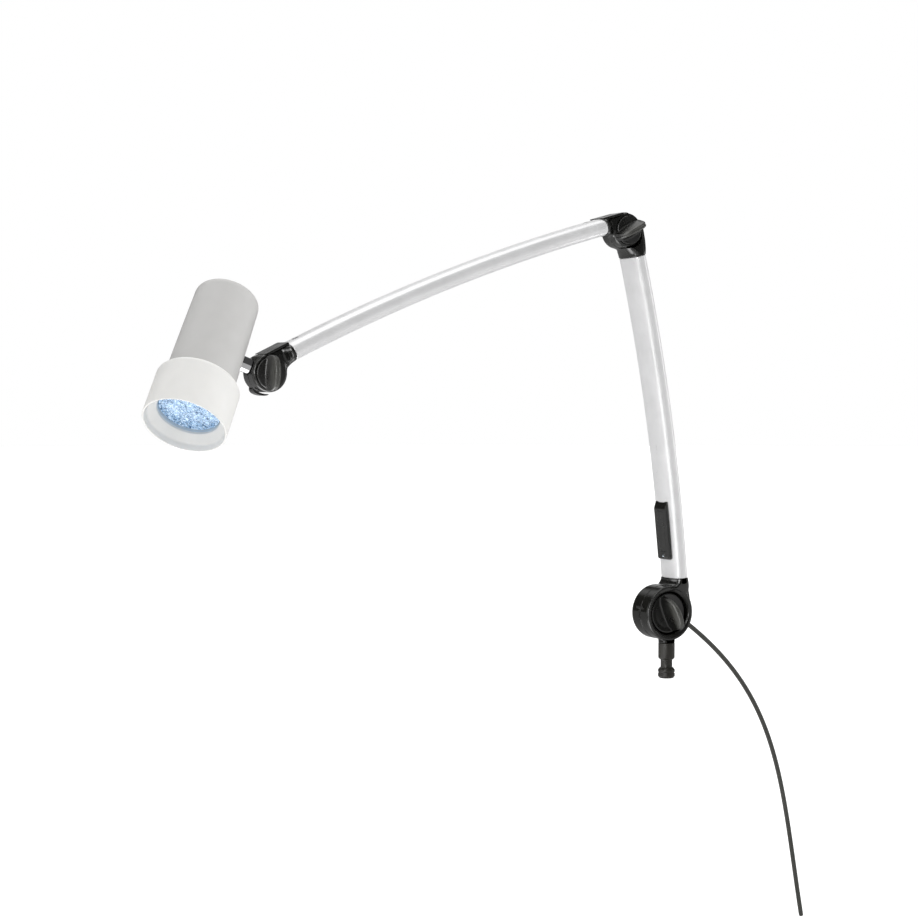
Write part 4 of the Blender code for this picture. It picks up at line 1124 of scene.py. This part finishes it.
# ------------------------------------------------------------------ switch module
def switch_module():
    """Housing on the left of the lower tube, its long key and the indicator lens below it.

    In the switch's frame x points left out of the tube, y forward and z up along it.
    """
    point, along, outward = station(LOWER, SWITCH_ANGLE)
    left = -in_plane(outward)
    frame = axis_frame(in_plane(point), in_plane(along), left)
    in_switch = local(frame)
    face = 11.9

    def housing(x, y, z):
        offset = np.hypot(x - LOWER.centre[0], z - LOWER.centre[1]) - BEND_R
        tube = superellipse(offset, y, TUBE_X + 0.15, TUBE_Y + 0.15, OVAL)
        x, y, z = in_switch(x, y, z)
        solid = smax(np.abs(y) - 9.6, x - face, 0.55)
        # the upper end falls away to the tube
        solid = smax(solid, (x - face) * 0.91 + (z - 22.6) * 0.42, 0.35)
        solid = smax(solid, z - 29.4, 0.3)
        solid = smax(solid, -29.0 - z, 2.6)
        solid = smax(solid, 4.5 - x, 0.3)
        solid = smax(solid, -tube, 0.2)
        well = np.maximum(np.maximum(np.abs(y) - 4.78, np.abs(z) - 20.48), 7.6 - x)
        solid = smax(solid, -well, 0.25)
        from_lamp = np.hypot(y, z - LAMP)
        solid = smin(solid, np.hypot(from_lamp - 1.95, x - face) - 0.38, 0.2)
        return smax(solid, -np.maximum(from_lamp - 1.7, 7.0 - x), 0.15)

    bar = rounded_box(frame @ Matrix.Translation((11.0, 0.0, 0.0)), (1.0, 4.6, 20.3), 0.3)

    def key(x, y, z):
        across, forward, _ = in_switch(x, y, z)
        dish = 40.0 - np.sqrt((across - 51.85) ** 2 + forward * forward)
        return smax(bar(x, y, z), dish, 0.2)

    sides = [point[0] - along[0] * k - outward[0] * j for k in (-30, 30) for j in (0, 14)]
    low = (min(sides) - 1, -11, point[1] - 31)
    high = (max(sides) + 1, 11, point[1] + 31)
    dress(sculpt(housing, low, high, CELL * 0.8), "switch_housing")
    dress(sculpt(key, low, high, CELL * 0.7), "switch_button")

    lamp_frame = axis_frame(in_plane(point) + in_plane(along) * LAMP, left, (0, 0, 1))
    outline = [(0, 9.9), (1.4, 9.9), (1.4, 11.7), (1.0, 12.15), (0, 12.3)]
    dress(lathe(outline, lamp_frame, steps=48, rounding=0.2, seg=3), "indicator_lens")


# ------------------------------------------------------------------ head
HEAD_BODY = [(0, -61.4), (14.0, -61.35, 30), (28.9, -60.4, 7.2), (29.8, -14.0), (30.3, 24.0),
             (30.3, 40.0, .3), (28.3, 40.0, .3), (28.3, 24.0), (27.0, -58.6, 6.0), (0, -59.6)]
SHADE = [(30.7, 36.7, .35), (34.6, 36.7, 1.6), (37.1, 40.2, 2.6), (37.1, 83.6, .6),
         (35.6, 83.6, .6), (34.2, 78.4, 5.0), (27.8, 71.4, .6), (27.8, 64.0, .3), (29.6, 64.0, .3),
         (29.9, 68.4, .5), (33.0, 71.2, 1.0), (35.2, 74.6, 1.0), (35.2, 40.6, 1.0),
         (33.6, 38.9, .8), (30.7, 38.8, .3)]
HOLDER = [(25.6, 47.2), (27.2, 47.2), (27.2, 67.2), (0, 67.2), (0, 65.2), (25.6, 65.2)]
LENS_HOLE = [(0, 60), (11.3, 60), (11.3, 66.6), (11.9, 67.25), (11.9, 70), (0, 70)]
LENS_BACK = [(0, 54.9), (1.8, 54.7), (3.2, 53.8), (3.4, 50.3), (4.5, 50.3), (6.2, 52.6),
             (8.0, 56.2), (9.6, 60.6), (LENS_R, 66.2), (LENS_R, 67.4)]
WINDOW = [(0, 67.95), (27.4, 67.95), (27.4, 69.7), (0, 69.7)]


def head_body():
    body = lathe(HEAD_BODY, head_frame, steps=192, seg=12)
    hole = plug(stem_frame, radius=7.35, low=STEM - 45, high=STEM - 12, steps=96)
    dress(cut(body, hole), "head_body")


def lens_wave(radius, height, angle):
    """Six-fold ripple and fine rings on a lens's front face."""
    if height < 65.0 or radius < 0.5 or radius > 10.2:
        return 0.0
    ripple = 0.22 * math.cos(6 * angle) * math.sin(math.pi * radius / 10.2)
    return ripple - 0.18 * abs(math.sin(radius * math.pi / 1.7))


def lenses():
    """The lens holder and the three collimator lenses in its holes."""
    holder = lathe(HOLDER, head_frame, rounding=0.3)
    radii = [LENS_R * (1 - i / 26) for i in range(1, 26)]
    front = [(radius, 67.4 - 0.9 * math.exp(-((radius - 3.2) / 2.2) ** 2)) for radius in radii]
    outline = LENS_BACK + front + [(0, 66.7)]
    holes = []
    for k in range(3):
        frame = head_frame.copy()
        frame.translation = lens_point(k, depth=0.0)
        holes.append(lathe(LENS_HOLE, frame, steps=96, sharp=0))
        lens = lathe(outline, frame, steps=144, wave=lens_wave, sharp=60)
        dress(lens, f"collimator_lens_{k + 1}", "facets")
    dress(cut(holder, *holes), "lens_holder", "facets")


# ------------------------------------------------------------------ stage, lights, camera (metres)
def floor_material():
    """Soft grey paint that shows shiny pieces a dim floor with a bright card on it."""
    tree = material_graph("studio_floor_paint")
    drift = tree.spread(tree.noise(tree.mm(), scale=0.004, detail=3.0))
    tone = tree.mix(drift, (0.55, 0.55, 0.55, 1.0), (0.58, 0.58, 0.58, 1.0))
    seen = tree.node("LightPath").outputs["Is Camera Ray"]
    glow = tree.plus(0.24, tree.times(seen, factor=0.45))
    paint = tree.add("BsdfPrincipled", Base_Color=tone, Roughness=0.85, Specular_IOR_Level=0.1,
                     Emission_Color=(1, 1, 1, 1), Emission_Strength=glow)
    shiny = tree.node("LightPath").outputs["Is Glossy Ray"]
    away = tree.distance(tree.mm(), (-300.0, 150.0, 0.0))
    card = tree.spread(away, to=(3.6, 0.0), within=(220.0, 420.0))
    mirrored = tree.add("Emission", Color=(1.0, 1.0, 1.0, 1.0),
                        Strength=tree.plus(card, amount=0.42))
    return tree.finish(tree.add("MixShader", i0=shiny, i1=paint, i2=mirrored))


def studio_floor():
    bm = bmesh.new()
    bmesh.ops.create_circle(bm, cap_ends=True, radius=14.0, segments=96)
    floor = link_bmesh(bm, "studio_floor")
    floor.location = (-0.2, 0.0, CAD_BOX[0].z - 0.010)
    floor.data.materials.append(floor_material())


# Soft patches of the world: (direction, full within degrees, gone beyond degrees, strength).
FILL_PATCHES = (          # broad fill, weaker from the camera's side
    ((0.90, -0.30, 0.2), 10, 65, 0.90), ((-0.55, -0.83, 0.0), 15, 80, -0.56),
    ((-0.1, -1.0, -0.1), 10, 50, -0.25))
MIRRORED_PATCHES = (      # softboxes and a tall strip beside the camera, for shiny surfaces
    ((0.45, 0.86, 0.24), 6, 17, 0.55), ((0.0, 0.45, 0.89), 14, 34, 1.5),
    ((-0.95, 0.28, -0.05), 12, 32, 2.2), ((-0.82, -0.57, 0.0), 7, 18, 6.6),
    ((-0.74, -0.52, 0.42), 5, 14, 5.5), ((-0.74, -0.52, -0.42), 5, 14, 4.5),
    ((0.93, -0.36, 0.05), 3, 12, 2.2), ((-0.45, -0.35, 0.82), 6, 18, 1.6))


def soft_studio():
    """World: white to the camera, fill light for matt surfaces, a dark room for shiny ones."""
    world = bpy.data.worlds.new("soft_studio")
    bpy.context.scene.world = world
    tree = Graph(world, output="OutputWorld")
    way = tree.node("TexCoord").outputs["Generated"]

    def gather(total, patches):
        for direction, inner, outer, strength in patches:
            aim = tuple(Vector(direction).normalized())
            facing = tree.vector_math("DOT_PRODUCT", way, aim, output="Value")
            edges = math.cos(math.radians(outer)), math.cos(math.radians(inner))
            total = tree.plus(total, tree.spread(facing, to=(0.0, strength), within=edges,
                                                 curve="SMOOTHSTEP"))
        return tree.math("MAXIMUM", total, 0.02)

    sky = tree.spread(tree.part(way, "Z"), to=(1.01, 1.26), within=(-0.2, 1.0))
    fill = gather(sky, FILL_PATCHES)
    mirrored = gather(0.06, MIRRORED_PATCHES)
    rays = tree.node("LightPath").outputs
    seen, glossy = rays["Is Camera Ray"], rays["Is Glossy Ray"]
    strength = tree.plus(tree.times(mirrored, glossy),
                         tree.times(fill, tree.math("SUBTRACT", 1.0, glossy)))
    strength = tree.plus(tree.times(strength, tree.math("SUBTRACT", 1.0, seen)), seen)
    tree.finish(tree.add("Background", Color=(1.0, 1.0, 1.0, 1.0), Strength=strength))
    world.cycles.sampling_method = "NONE"


def area_light(name, position, target, width, height, power):
    data = bpy.data.lights.new(name, "AREA")
    data.shape = "RECTANGLE"
    data.size, data.size_y = width, height
    data.energy = power
    light = bpy.data.objects.new(name, data)
    light.location = position
    light.rotation_mode = "QUATERNION"
    aim = Vector(target) - Vector(position)
    light.rotation_quaternion = aim.to_track_quat("-Z", "Y")
    light.visible_camera = False
    bpy.context.scene.collection.objects.link(light)


def lights():
    area_light("right_softbox", position=(1.5, -0.9, 0.9), target=(-0.2, 0, 0.2),
               width=0.9, height=1.4, power=0.8)
    mouth = head_frame @ Vector((0.0, 0.0, 74.0)) * MM
    area_light("shade_card", position=mouth + Vector((-0.30, -0.25, -0.32)), target=mouth,
               width=0.25, height=0.25, power=0.55)


def camera():
    """Looks at the lamp from the front left, slightly downward."""
    data = bpy.data.cameras.new("camera")
    data.sensor_width = 36.0
    data.lens = 76.470588
    data.clip_start, data.clip_end = 0.05, 60.0
    viewer = bpy.data.objects.new("camera", data)
    azimuth, elevation = math.radians(-30.0), math.radians(2.5)
    right = Vector((math.cos(azimuth), math.sin(azimuth), 0.0))
    back = Vector((math.sin(azimuth) * math.cos(elevation),
                   -math.cos(azimuth) * math.cos(elevation), math.sin(elevation)))
    matrix = Matrix((right, back.cross(right), back)).transposed().to_4x4()
    matrix.translation = (-1.14697, -1.57261, 0.30296)
    viewer.matrix_world = matrix
    bpy.context.scene.collection.objects.link(viewer)
    bpy.context.scene.camera = viewer


# ------------------------------------------------------------------ build
dress(lathe(PIN, pin_frame, steps=160), "mounting_pin", "pin")
base_hub()
dress(lathe(BACK_COVER, hub_frame(BASE), steps=160, rounding=0.4), "base_back_cover")
power_cable()
cable_grommet()
base_cap()
rear_cap("lower_arm_elbow_cap", ELBOW, station(LOWER, LOWER.end))
front_cap("upper_arm_elbow_cap", ELBOW, station(UPPER, UPPER.start, way=-1), 28.5, crown=8.1)
front_cap("upper_arm_head_cap", HEAD, station(UPPER, UPPER.end), 27.8, crown=9.1)
tension_knobs()
head_hinge()
head_stem()
axle("elbow_axle", ELBOW)
axle("head_axle", HEAD)
arm_tube("lower_arm", LOWER)
arm_tube("upper_arm", UPPER)
switch_module()
head_body()
dress(lathe(SHADE, head_frame, steps=192, seg=8), "head_shade")
lenses()
dress(lathe(WINDOW, head_frame, steps=160, rounding=0.3), "front_window", "window")
studio_floor()
soft_studio()
lights()
camera()
bpy.context.scene.view_settings.view_transform = "Standard"
